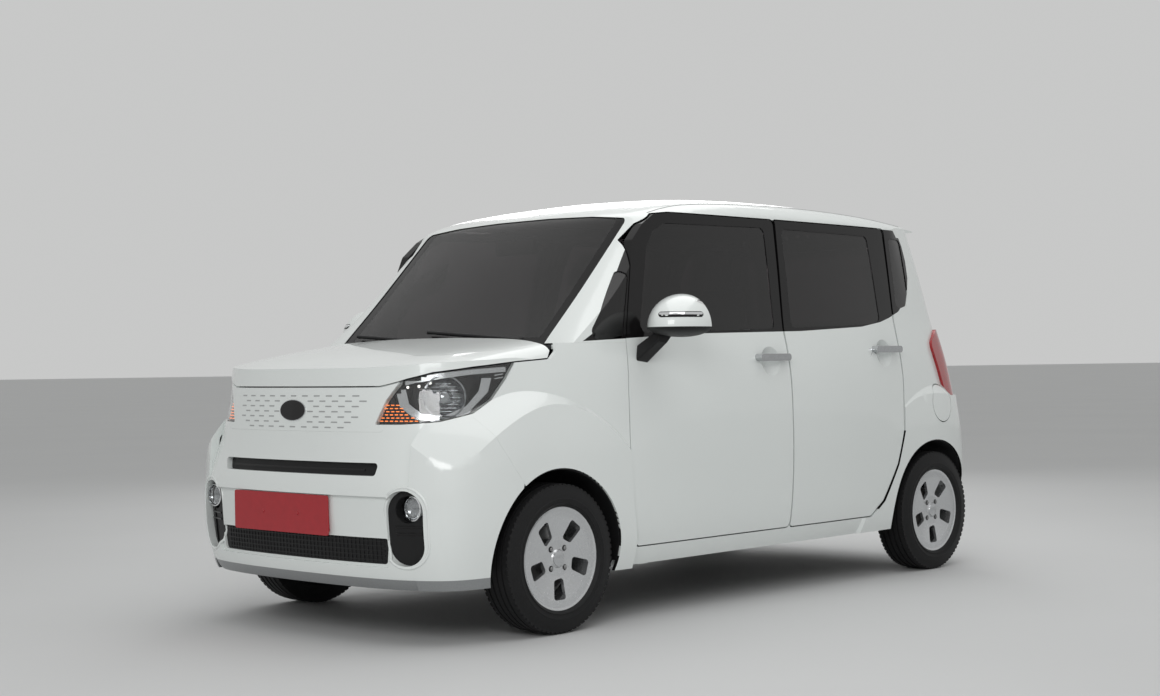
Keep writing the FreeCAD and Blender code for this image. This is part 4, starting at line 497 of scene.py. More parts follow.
def flat_mesh(look: Look, outline: Outline, spacing: float = 0.03) -> bmesh.types.BMesh:
    """A flat face cut into a grid so that it can bend.

    Args:
        look: The way it faces.
        outline: Its outline.
        spacing: Size of the grid.

    Returns:
        The mesh, lying at depth 0 of the looking axis.
    """
    mesh = bmesh.new()
    vertices = [mesh.verts.new(look.place(u, v)) for u, v in outline]
    for a, b in zip(vertices, vertices[1:] + vertices[:1]):
        mesh.edges.new((a, b))
    bmesh.ops.triangle_fill(mesh, use_beauty=True, edges=mesh.edges[:])
    for way in (Vector(look.value[1]), Vector(look.value[2])):
        places = [vertex.co.dot(way) for vertex in mesh.verts]
        low, high = min(places), max(places)
        for k in range(1, int((high - low) / spacing) + 1):
            bmesh.ops.bisect_plane(mesh, geom=mesh.verts[:] + mesh.edges[:] + mesh.faces[:], dist=1e-6,
                                   plane_co=way * (low + k * spacing), plane_no=way)
    return mesh


def laid_on(mesh: bmesh.types.BMesh, tree: BVHTree, look: Look, lift: float) -> None:
    """Push a flat mesh along its looking axis on to a surface; what misses the surface goes.

    Args:
        mesh: The flat mesh.
        tree: The surface's faces.
        look: The looking axis.
        lift: How far it stands off the surface, below 0 for inside it.
    """
    missed = []
    for vertex in mesh.verts:
        spot, normal, _, _ = tree.ray_cast(vertex.co - look.ahead * RAY_START, look.ahead)
        if spot is None:
            missed.append(vertex)
            continue
        if normal.dot(look.ahead) > 0:
            normal = -normal
        vertex.co = spot + normal * lift
    bmesh.ops.delete(mesh, geom=missed, context="VERTS")


def thicken(mesh: bmesh.types.BMesh, depth: float, towards: Vector) -> None:
    """Give an open sheet a wall on its far side.

    Args:
        mesh: The sheet.
        depth: The wall's thickness.
        towards: The direction in which it grows.
    """
    mesh.normal_update()
    total = sum((face.normal * face.calc_area() for face in mesh.faces), Vector())
    if total.dot(towards) > 0:
        bmesh.ops.reverse_faces(mesh, faces=mesh.faces[:])
    grown = bmesh.ops.extrude_face_region(mesh, geom=mesh.faces[:], use_keep_orig=True)
    moved = [item for item in grown["geom"] if isinstance(item, bmesh.types.BMVert)]
    bmesh.ops.translate(mesh, verts=moved, vec=towards.normalized() * depth)
    inner = [item for item in grown["geom"] if isinstance(item, bmesh.types.BMFace)]
    bmesh.ops.reverse_faces(mesh, faces=inner)
    bmesh.ops.recalc_face_normals(mesh, faces=mesh.faces[:])


def applied(name: str, body: str, finish: str, look: Look, outline: Outline, tree: BVHTree, lift: float = 0.0008,
            depth: float = 0.004, spacing: float = 0.03) -> bpy.types.Object:
    """A thin piece laid on a surface of the car.

    Args:
        name: The piece's name.
        body: The body it rides on.
        finish: Its finish.
        look: The way its outline faces.
        outline: Its outline.
        tree: The surface it lies on.
        lift: How far its face stands off the surface.
        depth: Its thickness.
        spacing: Size of the grid that lets it bend.

    Returns:
        The piece.
    """
    mesh = flat_mesh(look, outline, spacing)
    laid_on(mesh, tree, look, lift)
    thicken(mesh, depth, look.ahead)
    return finished(name, mesh, body, [finish], 50.0)


def tube_mesh(points: Sequence[Vector], radius: float, sides: int = 10, closed: bool = False) -> bmesh.types.BMesh:
    """A round bar along points.

    Args:
        points: The line it follows.
        radius: Its radius.
        sides: Faces round it.
        closed: Whether it ends where it starts.

    Returns:
        The bar's mesh.
    """
    mesh = bmesh.new()
    rings = []
    count = len(points)
    up = Vector((0.13, 0.31, 0.94)).normalized()
    for i, spot in enumerate(points):
        before = points[i - 1] if i or closed else spot
        after = points[(i + 1) % count] if i < count - 1 or closed else spot
        along = (after - before).normalized()
        side = along.cross(up).normalized()
        circle = bmesh.ops.create_circle(mesh, cap_ends=False, segments=sides, radius=radius)["verts"]
        turn = Matrix((side, along.cross(side), along)).transposed().to_4x4()
        bmesh.ops.transform(mesh, matrix=Matrix.Translation(spot) @ turn, verts=circle)
        rings.append(list({edge for vertex in circle for edge in vertex.link_edges}))
    pairs = list(zip(rings, rings[1:])) + ([(rings[-1], rings[0])] if closed else [])
    for a, b in pairs:
        bmesh.ops.bridge_loops(mesh, edges=a + b)
    if not closed:
        for edges in (rings[0], rings[-1]):
            bmesh.ops.contextual_create(mesh, geom=list({v for edge in edges for v in edge.verts}))
    bmesh.ops.recalc_face_normals(mesh, faces=mesh.faces[:])
    return mesh


def turned(profile: Outline, centre: Vector, axis: Vector, steps: int = 48) -> bmesh.types.BMesh:
    """A closed ring or dish: (radius, along) points spun round an axis.

    Args:
        profile: The points, in order, from (radius, along).
        centre: A point on the axis.
        axis: The axis' direction.
        steps: Steps in the full turn.

    Returns:
        The spun mesh.
    """
    mesh = bmesh.new()
    side = Vector((0, 0, 1)) if abs(axis.z) < 0.9 else Vector((1, 0, 0))
    side = (side - axis * side.dot(axis)).normalized()
    vertices = [mesh.verts.new(centre + side * r + axis * a) for r, a in profile]
    edges = [mesh.edges.new(pair) for pair in zip(vertices, vertices[1:])]
    if profile[0][0] > 1e-6 or profile[-1][0] > 1e-6:
        edges.append(mesh.edges.new((vertices[-1], vertices[0])))
    bmesh.ops.spin(mesh, geom=vertices + edges, cent=centre, axis=axis, angle=math.tau, steps=steps, use_merge=True)
    bmesh.ops.remove_doubles(mesh, verts=mesh.verts, dist=1e-6)
    bmesh.ops.recalc_face_normals(mesh, faces=mesh.faces[:])
    return mesh


def merged(*meshes: bmesh.types.BMesh) -> bmesh.types.BMesh:
    """Put several meshes in one; the others are freed.

    Args:
        meshes: The meshes.

    Returns:
        The first mesh, holding all of them.
    """
    first = meshes[0]
    for other in meshes[1:]:
        data = bpy.data.meshes.new("joined")
        other.to_mesh(data)
        other.free()
        first.from_mesh(data)
        bpy.data.meshes.remove(data)
    return first


def both_sides(mesh: bmesh.types.BMesh) -> bmesh.types.BMesh:
    """Add the mesh's mirror image on the car's other side.

    Args:
        mesh: The mesh, which is changed.

    Returns:
        The same mesh.
    """
    data = bpy.data.meshes.new("mirrored")
    mesh.to_mesh(data)
    data.transform(Matrix.Scale(-1.0, 4, (0, 1, 0)))
    data.flip_normals()
    mesh.from_mesh(data)
    bpy.data.meshes.remove(data)
    return mesh


def inside(outline: Outline, u: float, v: float) -> bool:
    """Whether a point lies inside an outline."""
    hit = False
    for (u0, v0), (u1, v1) in zip(outline, [*outline[1:], outline[0]]):
        if (v0 > v) != (v1 > v) and u < u0 + (u1 - u0) * (v - v0) / (v1 - v0):
            hit = not hit
    return hit


def cut_along(mesh: bmesh.types.BMesh, look: Look, outline: Outline) -> list[bmesh.types.BMFace]:
    """Cut the faces along an outline, seen along a looking axis.

    Args:
        mesh: The mesh.
        look: The looking axis.
        outline: The outline.

    Returns:
        The faces whose middle lies inside the outline.
    """
    for start, end in zip(outline, [*outline[1:], outline[0]]):
        a, b = look.place(*start), look.place(*end)
        low = [min(p, q) - 0.001 for p, q in zip(start, end)]
        high = [max(p, q) + 0.001 for p, q in zip(start, end)]
        near = set()
        for face in mesh.faces:
            spots = [look.flat(vertex.co) for vertex in face.verts]
            if all(min(s[k] for s in spots) < high[k] and max(s[k] for s in spots) > low[k] for k in (0, 1)):
                near.update((face, *face.edges, *face.verts))
        if near:
            bmesh.ops.bisect_plane(mesh, geom=list(near), dist=1e-6, plane_co=a, plane_no=(b - a).cross(look.ahead))
    return [face for face in mesh.faces if inside(outline, *look.flat(face.calc_center_median()))]


def bar_between(look: Look, start: tuple[float, float], end: tuple[float, float], height: float) -> Outline:
    """A flat strip from one point to another.

    Args:
        look: Not used.
        start: One end.
        end: The other end.
        height: The strip's height.

    Returns:
        Its outline.
    """
    along = Vector(end) - Vector(start)
    side = Vector((-along.y, along.x)).normalized() * height / 2
    a, b = Vector(start), Vector(end)
    return [tuple(p) for p in (a - side, b - side, b + side, a + side)]


def many(look: Look, outlines: Iterable[Outline], tree: BVHTree, lift: float, depth: float,
         spacing: float = 0.03) -> bmesh.types.BMesh:
    """Many thin plates laid on a surface, in one mesh.

    Args:
        look: The looking axis.
        outlines: One outline for each plate.
        tree: The surface.
        lift: How far they stand off the surface.
        depth: Their thickness.
        spacing: Size of the grid that lets them bend.

    Returns:
        The mesh.
    """
    plates = []
    for outline in outlines:
        mesh = flat_mesh(look, outline, spacing)
        laid_on(mesh, tree, look, lift)
        thicken(mesh, depth, look.ahead)
        plates.append(mesh)
    return merged(*plates)


def softened(mesh: bmesh.types.BMesh, radius: float, segments: int) -> None:
    """Round all edges of a mesh.

    Args:
        mesh: The mesh.
        radius: How far from each edge the rounding starts.
        segments: Faces across the rounding.
    """
    bmesh.ops.bevel(mesh, geom=mesh.edges[:], offset=radius, segments=segments, profile=0.5, affect="EDGES",
                    material=-1)


def block(low: Sequence[float], high: Sequence[float]) -> bmesh.types.BMesh:
    """A block between two corners."""
    mesh = bmesh.new()
    middle = (Vector(low) + Vector(high)) / 2
    size = Vector(high) - Vector(low)
    bmesh.ops.create_cube(mesh, size=1.0, matrix=Matrix.Translation(middle) @ Matrix.Diagonal((*size, 1.0)))
    return mesh


@dataclass
class Studio:
    """Camera, floor, backdrop and lamps."""

    camera_spot: tuple[float, float, float] = (-5.765, -5.2594, 0.9942)
    yaw: float = 43.537
    pitch: float = -0.466
    roll: float = -0.846
    lens: float = 54.52
    shift_y: float = 0.0248
    floor_size: float = 400.0
    floor_colour: tuple[float, float, float] = (0.60, 0.605, 0.605)
    sky_colour: tuple[float, float, float] = (0.80, 0.805, 0.80)
    sky_light: float = 0.62
    sky_seen: float = 0.72
    aim: tuple[float, float, float] = (0.0, 0.0, 0.8)

    def camera(self) -> None:
        """Set the camera where the photograph was taken from."""
        data = bpy.data.cameras.new("view")
        data.sensor_width, data.lens, data.shift_y = 36.0, self.lens, self.shift_y
        data.clip_end = 200.0
        camera = bpy.data.objects.new("view", data)
        bpy.context.scene.collection.objects.link(camera)
        yaw, pitch, roll = map(math.radians, (self.yaw, self.pitch, self.roll))
        ahead = Vector((math.cos(pitch) * math.cos(yaw), math.cos(pitch) * math.sin(yaw), math.sin(pitch)))
        right = Vector((math.sin(yaw), -math.cos(yaw), 0))
        up = right.cross(ahead)
        side = right * math.cos(roll) + up * math.sin(roll)
        top = up * math.cos(roll) - right * math.sin(roll)
        camera.matrix_world = Matrix((side, top, -ahead)).transposed().to_4x4()
        camera.location = self.camera_spot
        bpy.context.scene.camera = camera

    def floor(self) -> None:
        """Lay a plain pale floor."""
        mesh = bmesh.new()
        bmesh.ops.create_grid(mesh, x_segments=2, y_segments=2, size=self.floor_size / 2)
        data = bpy.data.meshes.new("floor")
        mesh.to_mesh(data)
        mesh.free()
        piece = bpy.data.objects.new("floor", data)
        bpy.context.scene.collection.objects.link(piece)
        surface = Surface("floor_grey")
        surface.set(Roughness=0.7)
        surface.tint(surface.noise(0.5), self.floor_colour, tuple(c * 1.03 for c in self.floor_colour))
        data.materials.append(surface.material)

    def lamp(self, name: str, spot: Sequence[float], size: tuple[float, float], power: float) -> None:
        """Hang a soft lamp that looks at the car.

        Args:
            name: The lamp's name.
            spot: Its place.
            size: Its width and height.
            power: Its power in watts.
        """
        data = bpy.data.lights.new(name, "AREA")
        data.shape, data.size, data.size_y, data.energy = "RECTANGLE", size[0], size[1], power
        lamp = bpy.data.objects.new(name, data)
        bpy.context.scene.collection.objects.link(lamp)
        lamp.location = spot
        lamp.rotation_euler = (Vector(self.aim) - Vector(spot)).to_track_quat("-Z", "Y").to_euler()

    def sky(self) -> None:
        """Light the car evenly, and show a pale backdrop to the camera."""
        world = bpy.data.worlds.new("sky")
        bpy.context.scene.world = world
        world.use_nodes = True
        tree = world.node_tree
        back = tree.nodes["Background"]
        back.inputs["Color"].default_value = (*self.sky_colour, 1)
        path = tree.nodes.new("ShaderNodeLightPath")
        seen, through = (tree.nodes.new("ShaderNodeMath") for _ in range(2))
        seen.operation = through.operation = "MAXIMUM"
        tree.links.new(path.outputs["Is Glossy Ray"], through.inputs[0])
        tree.links.new(path.outputs["Is Transmission Ray"], through.inputs[1])
        tree.links.new(path.outputs["Is Camera Ray"], seen.inputs[0])
        tree.links.new(through.outputs[0], seen.inputs[1])
        strength = tree.nodes.new("ShaderNodeMapRange")
        strength.inputs["To Min"].default_value = self.sky_light
        strength.inputs["To Max"].default_value = self.sky_seen
        tree.links.new(seen.outputs[0], strength.inputs["Value"])
        tree.links.new(strength.outputs["Result"], back.inputs["Strength"])

    def build(self) -> None:
        """Set the whole stage."""
        self.camera()
        self.floor()
        self.sky()
        self.lamp("ceiling", (0.5, -0.5, 4.6), (7.0, 3.6), 95)
        self.lamp("front_left", (-5.5, -4.0, 3.2), (3.0, 2.0), 95)
        self.lamp("rear_right", (5.0, 4.5, 3.4), (3.0, 2.4), 70)
        bpy.context.scene.view_settings.view_transform = "Standard"


GLASS_BAND: Outline = (
    (-0.990, 1.074), (-0.316, 1.103), (0.356, 1.115), (0.825, 1.136), (0.990, 1.158), (1.075, 1.178), (1.172, 1.208),
    (1.240, 1.248), (1.297, 1.300), (1.330, 1.370), (1.338, 1.450), (1.326, 1.520), (1.300, 1.570), (1.270, 1.592),
    (-0.400, 1.594), (-0.495, 1.582), (-0.560, 1.545), (-0.655, 1.440), (-0.800, 1.265), (-0.925, 1.108))


def in_arch(spot: Vector) -> bool:
    """Whether a point lies inside a wheel arch's cylinder, low enough and outside the cabin."""
    near = any(math.hypot(spot.x - axle, spot.z - WHEEL_Z) < ARCH_REACH for axle in (FRONT_AXLE, REAR_AXLE))
    return near and abs(spot.y) > ARCH_INNER and spot.z < ARCH_TOP


@dataclass
class BodyShell:
    """The white panels with their black upper frames, lined towards the cabin."""

    panels: dict[str, str] = field(default_factory=lambda: {
        "bonnet": "bonnet", "front_panel": "body", "front_fenders": "body", "front_bumper": "body",
        "roof_panel": "body", "tailgate": "tailgate", "rear_bumper": "body", "fuel_flap": "fuel_flap"})
    sides: dict[str, str] = field(default_factory=lambda: {
        "front_door_left": "front_door_left", "front_door_right": "front_door_right",
        "rear_door_left": "rear_door_left", "sliding_door": "body", "body_side_left": "body",
        "body_side_right": "body"})
    handle_boxes: tuple[tuple[float, ...], ...] = ((-0.006, 0.222, 0.985, 1.023), (0.868, 1.092, 1.015, 1.053))
    handle_front_y: float = 0.781
    handle_rear_y: float = 0.764
    door_lead: float = 0.05
    pillar_x: float = -0.3
    band_foot: float = 1.09
    lip_top: float = 0.238
    lip_end: float = -1.38
    arch_side: float = 0.765
    arch_panel: float = 0.775
    lined: float = -0.25
    sideways: float = 0.3
    upright: float = 0.999
    lining_y: float = 0.56
    gate_lining_top: float = 1.62
    cowl_z: float = 1.02
    cowl_y: float = 0.58
    cabin_wall: float = 0.735
    lined_foot: float = 0.3
    lined_end: float = 1.72
    creases: float = 28.0
    side_finishes: tuple[str, ...] = ("white_paint", "black_gloss", "satin_chrome", "soft_trim", "arch_dark")
    panel_finishes: tuple[str, ...] = ("white_paint", "headlining", "soft_trim", "grey_lip", "arch_dark")

    def side(self, node: str, body: str) -> None:
        """Dress one door or side frame: paint, black band, bright handle bars, lining.

        Args:
            node: Its node.
            body: The body it rides on.
        """
        mesh = node_copy(node)
        ahead = self.door_lead if "door" in node else 0.0
        band = [(x - ahead, z) if x < self.pillar_x and z > self.band_foot else (x, z) for x, z in GLASS_BAND]
        slot = self.side_finishes.index
        for face in cut_along(mesh, Look.FROM_LEFT, band):
            face.material_index = slot("black_gloss")
        hand = math.copysign(1.0, sum(vertex.co.y for vertex in mesh.verts))
        proud_y = self.handle_front_y if "front" in node else self.handle_rear_y
        for face in mesh.faces:
            middle, facing = face.calc_center_median(), face.normal.y * hand
            if "door" in node and abs(middle.y) > proud_y:
                for low_x, high_x, low_z, high_z in self.handle_boxes:
                    if low_x < middle.x < high_x and low_z < middle.z < high_z:
                        face.material_index = slot("satin_chrome")
            if facing < self.sideways and abs(middle.y) < self.arch_side and in_arch(middle):
                face.material_index = slot("arch_dark")
            elif (facing < self.lined and abs(middle.y) < self.cabin_wall and middle.z > self.lined_foot
                  and middle.x < self.lined_end):
                face.material_index = slot("soft_trim")
        dressed(node, mesh, body, self.side_finishes, self.creases)

    def build(self) -> None:
        """Dress every white panel."""
        slot = self.panel_finishes.index
        for node, body in self.panels.items():
            mesh = node_copy(node)
            for face in mesh.faces:
                middle = face.calc_center_median()
                outward = face.normal.y * math.copysign(1.0, middle.y)
                upright = abs(face.normal.x) > self.upright
                if (node != "fuel_flap" and in_arch(middle) and abs(middle.y) < self.arch_panel
                        and outward < self.sideways and not upright):
                    face.material_index = slot("arch_dark")
                if node == "roof_panel" and face.normal.z < -self.sideways and abs(middle.y) < self.lining_y:
                    face.material_index = slot("headlining")
                if node == "tailgate" and face.normal.x < -self.sideways and middle.z < self.gate_lining_top:
                    face.material_index = slot("soft_trim")
            if node == "front_bumper":
                lip = ((-0.9, 0.1), (0.9, 0.1), (0.9, self.lip_top), (-0.9, self.lip_top))
                for face in cut_along(mesh, Look.FRONT, lip):
                    ahead = face.calc_center_median().x < self.lip_end
                    face.material_index = slot("grey_lip" if ahead else "white_paint")
            dressed(node, mesh, body, self.panel_finishes, self.creases)
        for node, body in self.sides.items():
            self.side(node, body)
        mesh = node_copy("bulkhead")
        for face in mesh.faces:
            middle = face.calc_center_median()
            face.material_index = int(middle.z > self.cowl_z and abs(middle.y) > self.cowl_y)
        dressed("bulkhead", mesh, "body", ["painted_steel", "white_paint"], self.creases)


@dataclass
class Nose:
    """What sits on the front: dashed panel, badge disc, grille bars, fog rims and plate bolts."""

    rows: tuple[float, ...] = (0.886, 0.867, 0.848, 0.829, 0.810, 0.791, 0.772)
    pitch: float = 0.067
    dash: tuple[float, float] = (0.033, 0.0052)
    badge: tuple[float, float, float, float] = (0.003, 0.833, 0.152, 0.078)
    fog: tuple[float, float, float, float] = (0.578, 0.423, 0.163, 0.270)
    row_half: float = 0.382
    row_step: float = 0.0105
    slot_z: float = 0.620
    mesh_rows: tuple[float, ...] = (0.302, 0.319, 0.336, 0.353, 0.370)
    mesh_pitch: float = 0.0205
    plate_bolt: tuple[float, float, float, float] = (-1.7935, 0.068, 0.105, 0.453)

    def dashes(self) -> None:
        """Emboss the staggered dashes of the front panel, in a grey that paints the shade of their edges."""
        outlines = []
        centre_y, centre_z, width, height = self.badge
        for k, z in enumerate(self.rows):
            half = self.row_half - self.row_step * k
            for i in range(-7, 8):
                y = centre_y + (i + (k % 2) / 2) * self.pitch
                near_badge = abs(y - centre_y) < width / 2 + 0.022 and abs(z - centre_z) < height / 2 + 0.004
                if abs(y) < half and not near_badge:
                    outlines.append(stadium((y, z), *self.dash, 4))
        mesh = many(Look.FRONT, outlines, node_tree("front_panel"), 0.0006, 0.002)
        # the dashes' grey is painted shade of their edges, not the panel's own colour
        fitted("panel_dashes", mesh, "painted_shade_grey")

    def emblem(self) -> None:
        """Set the plain black disc in the middle of the panel."""
        y, z, width, height = self.badge
        tree = node_tree("front_panel")
        turns = [math.tau * k / 40 for k in range(40)]
        for name, grow, lift, finish in (("badge_rim", 1.0, 0.0030, "silver_trim"),
                                         ("badge_disc", 0.95, 0.0045, "black_gloss")):
            outline = [(y + width / 2 * grow * math.cos(turn), z + height / 2 * grow * math.sin(turn))
                       for turn in turns]
            applied(name, "body", finish, Look.FRONT, outline, tree, lift, 0.0055)

    def grille(self) -> None:
        """Lay bars and mesh on both grilles."""
        tree = node_tree("bumper_grilles")
        bars = [bar_between(Look.FRONT, (-0.455, self.slot_z), (0.435, self.slot_z), 0.007)]
        bars += [bar_between(Look.FRONT, (-0.470, z), (0.470, z), 0.004) for z in self.mesh_rows]
        columns = [self.mesh_pitch * i for i in range(-22, 23)]
        bars += [bar_between(Look.FRONT, (y, 0.294), (y, 0.381), 0.0028) for y in columns]
        mesh = many(Look.FRONT, bars, tree, 0.0025, 0.003, 0.08)
        fitted("grille_bars", mesh, "grille_black")

    def fog_surrounds(self) -> None:
        """Raise a white rim round each fog recess, and lay two bars across it."""
        y, z, width, height = self.fog
        tree = node_tree("front_bumper", "bumper_grilles")
        ring = []
        for u, v in stadium((-y, z), width + 0.016, height + 0.016, 14):
            spot, _, _, _ = tree.ray_cast(Look.FRONT.place(u, v, -RAY_START), Look.FRONT.ahead)
            if spot is not None:
                ring.append(spot + Vector((0.0015, 0, 0)))
        rim = both_sides(tube_mesh(ring, 0.0055, 8, closed=True))
        fitted("fog_rims", rim, "white_paint", smooth=60.0)
        bars = [bar_between(Look.FRONT, (-y - 0.050, v), (-y + 0.052, v), 0.006) for v in (0.425, 0.400)]
        mesh = both_sides(many(Look.FRONT, bars, node_tree("bumper_grilles"), 0.004, 0.005, 0.05))
        fitted("fog_bars", mesh, "black_gloss")

    def plate_bolts(self) -> None:
        """Put a capped bolt in each hole of the red plate."""
        x, y, apart, z = self.plate_bolt
        profile = ((0.0, -0.0030), (0.0050, -0.0024), (0.0068, 0.0), (0.0068, 0.0015), (0.0, 0.0015))
        caps = [turned(profile, Vector((x, y + side * apart, z)), Vector((1, 0, 0)), 20) for side in (LEFT, RIGHT)]
        fitted("plate_bolts", merged(*caps), "red_plate")

    def build(self) -> None:
        """Build the whole nose."""
        self.dashes()
        self.emblem()
        self.grille()
        self.fog_surrounds()
        self.plate_bolts()


@dataclass
class FrontLamps:
    """Headlamps with their lens, housing, bright parts and amber dashes, and the fog lamps."""

    strip: Outline = ((-0.802, 0.918), (-0.797, 0.936), (-0.740, 0.953), (-0.640, 0.966), (-0.550, 0.975),
                      (-0.408, 0.984), (-0.408, 0.966), (-0.550, 0.957), (-0.640, 0.946), (-0.740, 0.932))
    horseshoe: Outline = ((-0.817, 0.908), (-0.803, 0.848), (-0.745, 0.803), (-0.640, 0.794), (-0.548, 0.828),
                          (-0.484, 0.894), (-0.472, 0.944), (-0.506, 0.944), (-0.516, 0.898), (-0.562, 0.846),
                          (-0.640, 0.813), (-0.722, 0.822), (-0.768, 0.857), (-0.780, 0.908))
    bowl: tuple[float, float] = (-0.6385, 0.880)
    fog_centre: tuple[float, float, float] = (-1.720, -0.595, 0.490)
    housing_depth: float = 0.060
    lowest: float = 0.65
    facing: float = 0.42
    small_lights: Outline = ((-0.772, 0.916), (-0.731, 0.919), (-0.690, 0.930))
    rib_rows: tuple[float, ...] = (0.905, 0.917, 0.929, 0.941, 0.953)
    fins: int = 9

    def left_shell(self) -> bmesh.types.BMesh:
        """The outer skin of the left headlamp's node."""
        mesh = node_copy("front_lamps")
        away = []
        for face in mesh.faces:
            middle = face.calc_center_median()
            if middle.y > 0 or middle.z < self.lowest or face.normal.dot(Look.CORNER.ahead) > -self.facing:
                away.append(face)
        bmesh.ops.delete(mesh, geom=away, context="FACES")
        return mesh

    def lens_and_housing(self) -> None:
        """Make the clear lens and the black bowl behind it."""
        lens = self.left_shell()
        thicken(lens, 0.0025, Look.CORNER.ahead)
        piece = finished("headlamp_lenses", both_sides(lens), "body", ["clear_lens"], 40.0)
        housing = self.left_shell()
        bmesh.ops.translate(housing, verts=housing.verts[:], vec=Look.CORNER.ahead * 0.003)
        outer = housing.faces[:]
        grown = bmesh.ops.extrude_face_region(housing, geom=outer, use_keep_orig=False)
        moved = [item for item in grown["geom"] if isinstance(item, bmesh.types.BMVert)]
        bmesh.ops.translate(housing, verts=moved, vec=Look.CORNER.ahead * self.housing_depth)
        spare = [face for face in outer if face.is_valid]
        bmesh.ops.delete(housing, geom=spare, context="FACES")
        piece = finished("headlamp_housings", both_sides(housing), "body", ["lamp_black"], 40.0)
        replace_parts(piece, "front_lamps")

    def bright_parts(self, tree: BVHTree) -> None:
        """Set the strip, the horseshoe bezel, the reflector bowl, the small lights and the rear ribs."""
        corner = Look.CORNER
        strips = many(corner, [self.strip, self.horseshoe], tree, -0.010, 0.006, 0.02)
        fitted("headlamp_bezels", both_sides(strips), "silver_trim")
        u, v = self.bowl
        spot, normal, _, _ = tree.ray_cast(corner.place(u, v, -RAY_START), corner.ahead)
        axis = (normal if normal.dot(corner.ahead) > 0 else -normal).normalized()
        centre = spot + axis * 0.012
        reflector = turned(((0.074, 0.0), (0.070, 0.006), (0.060, 0.022), (0.040, 0.034), (0.0, 0.040), (0.0, 0.043),
                            (0.042, 0.037), (0.063, 0.024), (0.077, 0.002)), centre, axis, 64)
        hood = turned(((0.0, 0.004), (0.018, 0.006), (0.026, 0.014), (0.027, 0.036), (0.022, 0.036), (0.0, 0.036)),
                      centre, axis, 32)
        ring = turned(((0.072, -0.003), (0.078, -0.001), (0.079, 0.004), (0.072, 0.003)), centre, axis, 64)
        fins, side = [], Vector(corner.value[1])
        for k in range(self.fins):
            step = k - self.fins // 2
            place = centre + Vector((0, 0, step * 0.0125)) + axis * 0.019
            half = 0.056 * math.sqrt(max(1.0 - (step / 4.6) ** 2, 0.05))
            fins.append(tube_mesh([place - side * half, place + side * half], 0.0016, 6))
        fitted("headlamp_bowls", both_sides(merged(reflector, ring)), "smoked_chrome")
        fitted("headlamp_bulb_hoods", both_sides(merged(hood, *fins)), "smoked_chrome")
        lights = [stadium(place, 0.010, 0.010, 5) for place in self.small_lights]
        fitted("headlamp_small_lights", both_sides(many(corner, lights, tree, -0.009, 0.003)), "white_lamp")
        ribs = [bar_between(corner, (-0.462, z), (-0.405, z + 0.008), 0.004) for z in self.rib_rows]
        fitted("headlamp_ribs", both_sides(many(corner, ribs, tree, -0.008, 0.003)), "silver_trim")

    def turn_signal(self, tree: BVHTree) -> None:
        """Lay the rows of amber dashes in the inner lower corner."""
        dashes = []
        for row in range(6):
            v = 0.7965 + 0.0112 * row
            for k in range(8):
                u = -0.870 + 0.0185 * k + 0.005 * (row % 2)
                if not inside(self.horseshoe, u, v) and u < -0.735 - 0.0068 * row:
                    dashes.append(stadium((u, v), 0.0125, 0.0034, 4))
        mesh = both_sides(many(Look.CORNER, dashes, tree, -0.008, 0.003))
        fitted("turn_signals", mesh, "amber_lamp")

    def fog_lamps(self) -> None:
        """Turn each fog lamp: chrome rim, reflector and lens."""
        centre, axis = Vector(self.fog_centre), Vector((1, 0, 0))
        rim = turned(((0.040, 0.000), (0.044, 0.002), (0.0455, 0.010), (0.0455, 0.026), (0.040, 0.026)), centre, axis)
        dish = turned(((0.040, 0.006), (0.034, 0.018), (0.018, 0.027), (0.0, 0.029), (0.0, 0.032), (0.041, 0.030)),
                      centre, axis)
        lens = turned(((0.0, 0.0005), (0.020, 0.0015), (0.034, 0.004), (0.0395, 0.008), (0.0395, 0.010), (0.0, 0.004)),
                      centre, axis)
        for name, mesh, finish in (("fog_lamp_rims", rim, "chrome"), ("fog_lamp_dishes", dish, "smoked_chrome"),
                                   ("fog_lamp_lenses", lens, "clear_lens")):
            fitted(name, both_sides(mesh), finish)

    def build(self) -> None:
        """Build all four lamps."""
        tree = BVHTree.FromBMesh(self.left_shell())
        self.lens_and_housing()
        self.bright_parts(tree)
        self.turn_signal(tree)
        self.fog_lamps()


@dataclass
class Mirrors:
    """Door mirrors: white cap, black foot, silvered glass and a bright strip."""

    foot_top: float = 1.124
    foot_side: float = 0.800
    rearward: float = 0.8
    strip: tuple[float, float, float, float] = (0.226, 1.170, 0.172, 0.022)
    glass: Outline = ((-1.005, 1.140), (-0.835, 1.140), (-0.835, 1.228), (-0.985, 1.228))

    def build(self) -> None:
        """Dress both mirrors."""
        for side, hand in (("left", LEFT), ("right", RIGHT)):
            mesh = node_copy("mirror_" + side)
            for face in mesh.faces:
                middle = face.calc_center_median()
                black = middle.z < self.foot_top or abs(middle.y) < self.foot_side or face.normal.x > self.rearward
                face.material_index = int(black)
            dressed("mirror_" + side, mesh, "front_door_" + side, ["white_paint", "black_plastic"], 30.0)
            tree = node_tree("mirror_left")
            u, v, width, height = self.strip
            bright = stadium((u, v + 0.003), width * 0.96, height * 0.42, 6)
            trims = {"mirror_blinker_": (stadium((u, v), width, height, 8), 0.0008, "black_gloss", Look.CORNER),
                     "mirror_strip_": (bright, 0.0022, "chrome", Look.CORNER),
                     "mirror_glass_": (rounded(self.glass, 0.03), 0.0008, "mirror_silver", Look.REAR)}
            for name, (outline, lift, finish, look) in trims.items():
                mesh = flat_mesh(look, outline, 0.02)
                laid_on(mesh, tree, look, lift)
                thicken(mesh, 0.003, look.ahead)
                if hand == RIGHT:
                    bmesh.ops.scale(mesh, vec=(1, -1, 1), verts=mesh.verts[:])
                    bmesh.ops.reverse_faces(mesh, faces=mesh.faces[:])
                fitted(name + side, mesh, finish, "front_door_" + side)


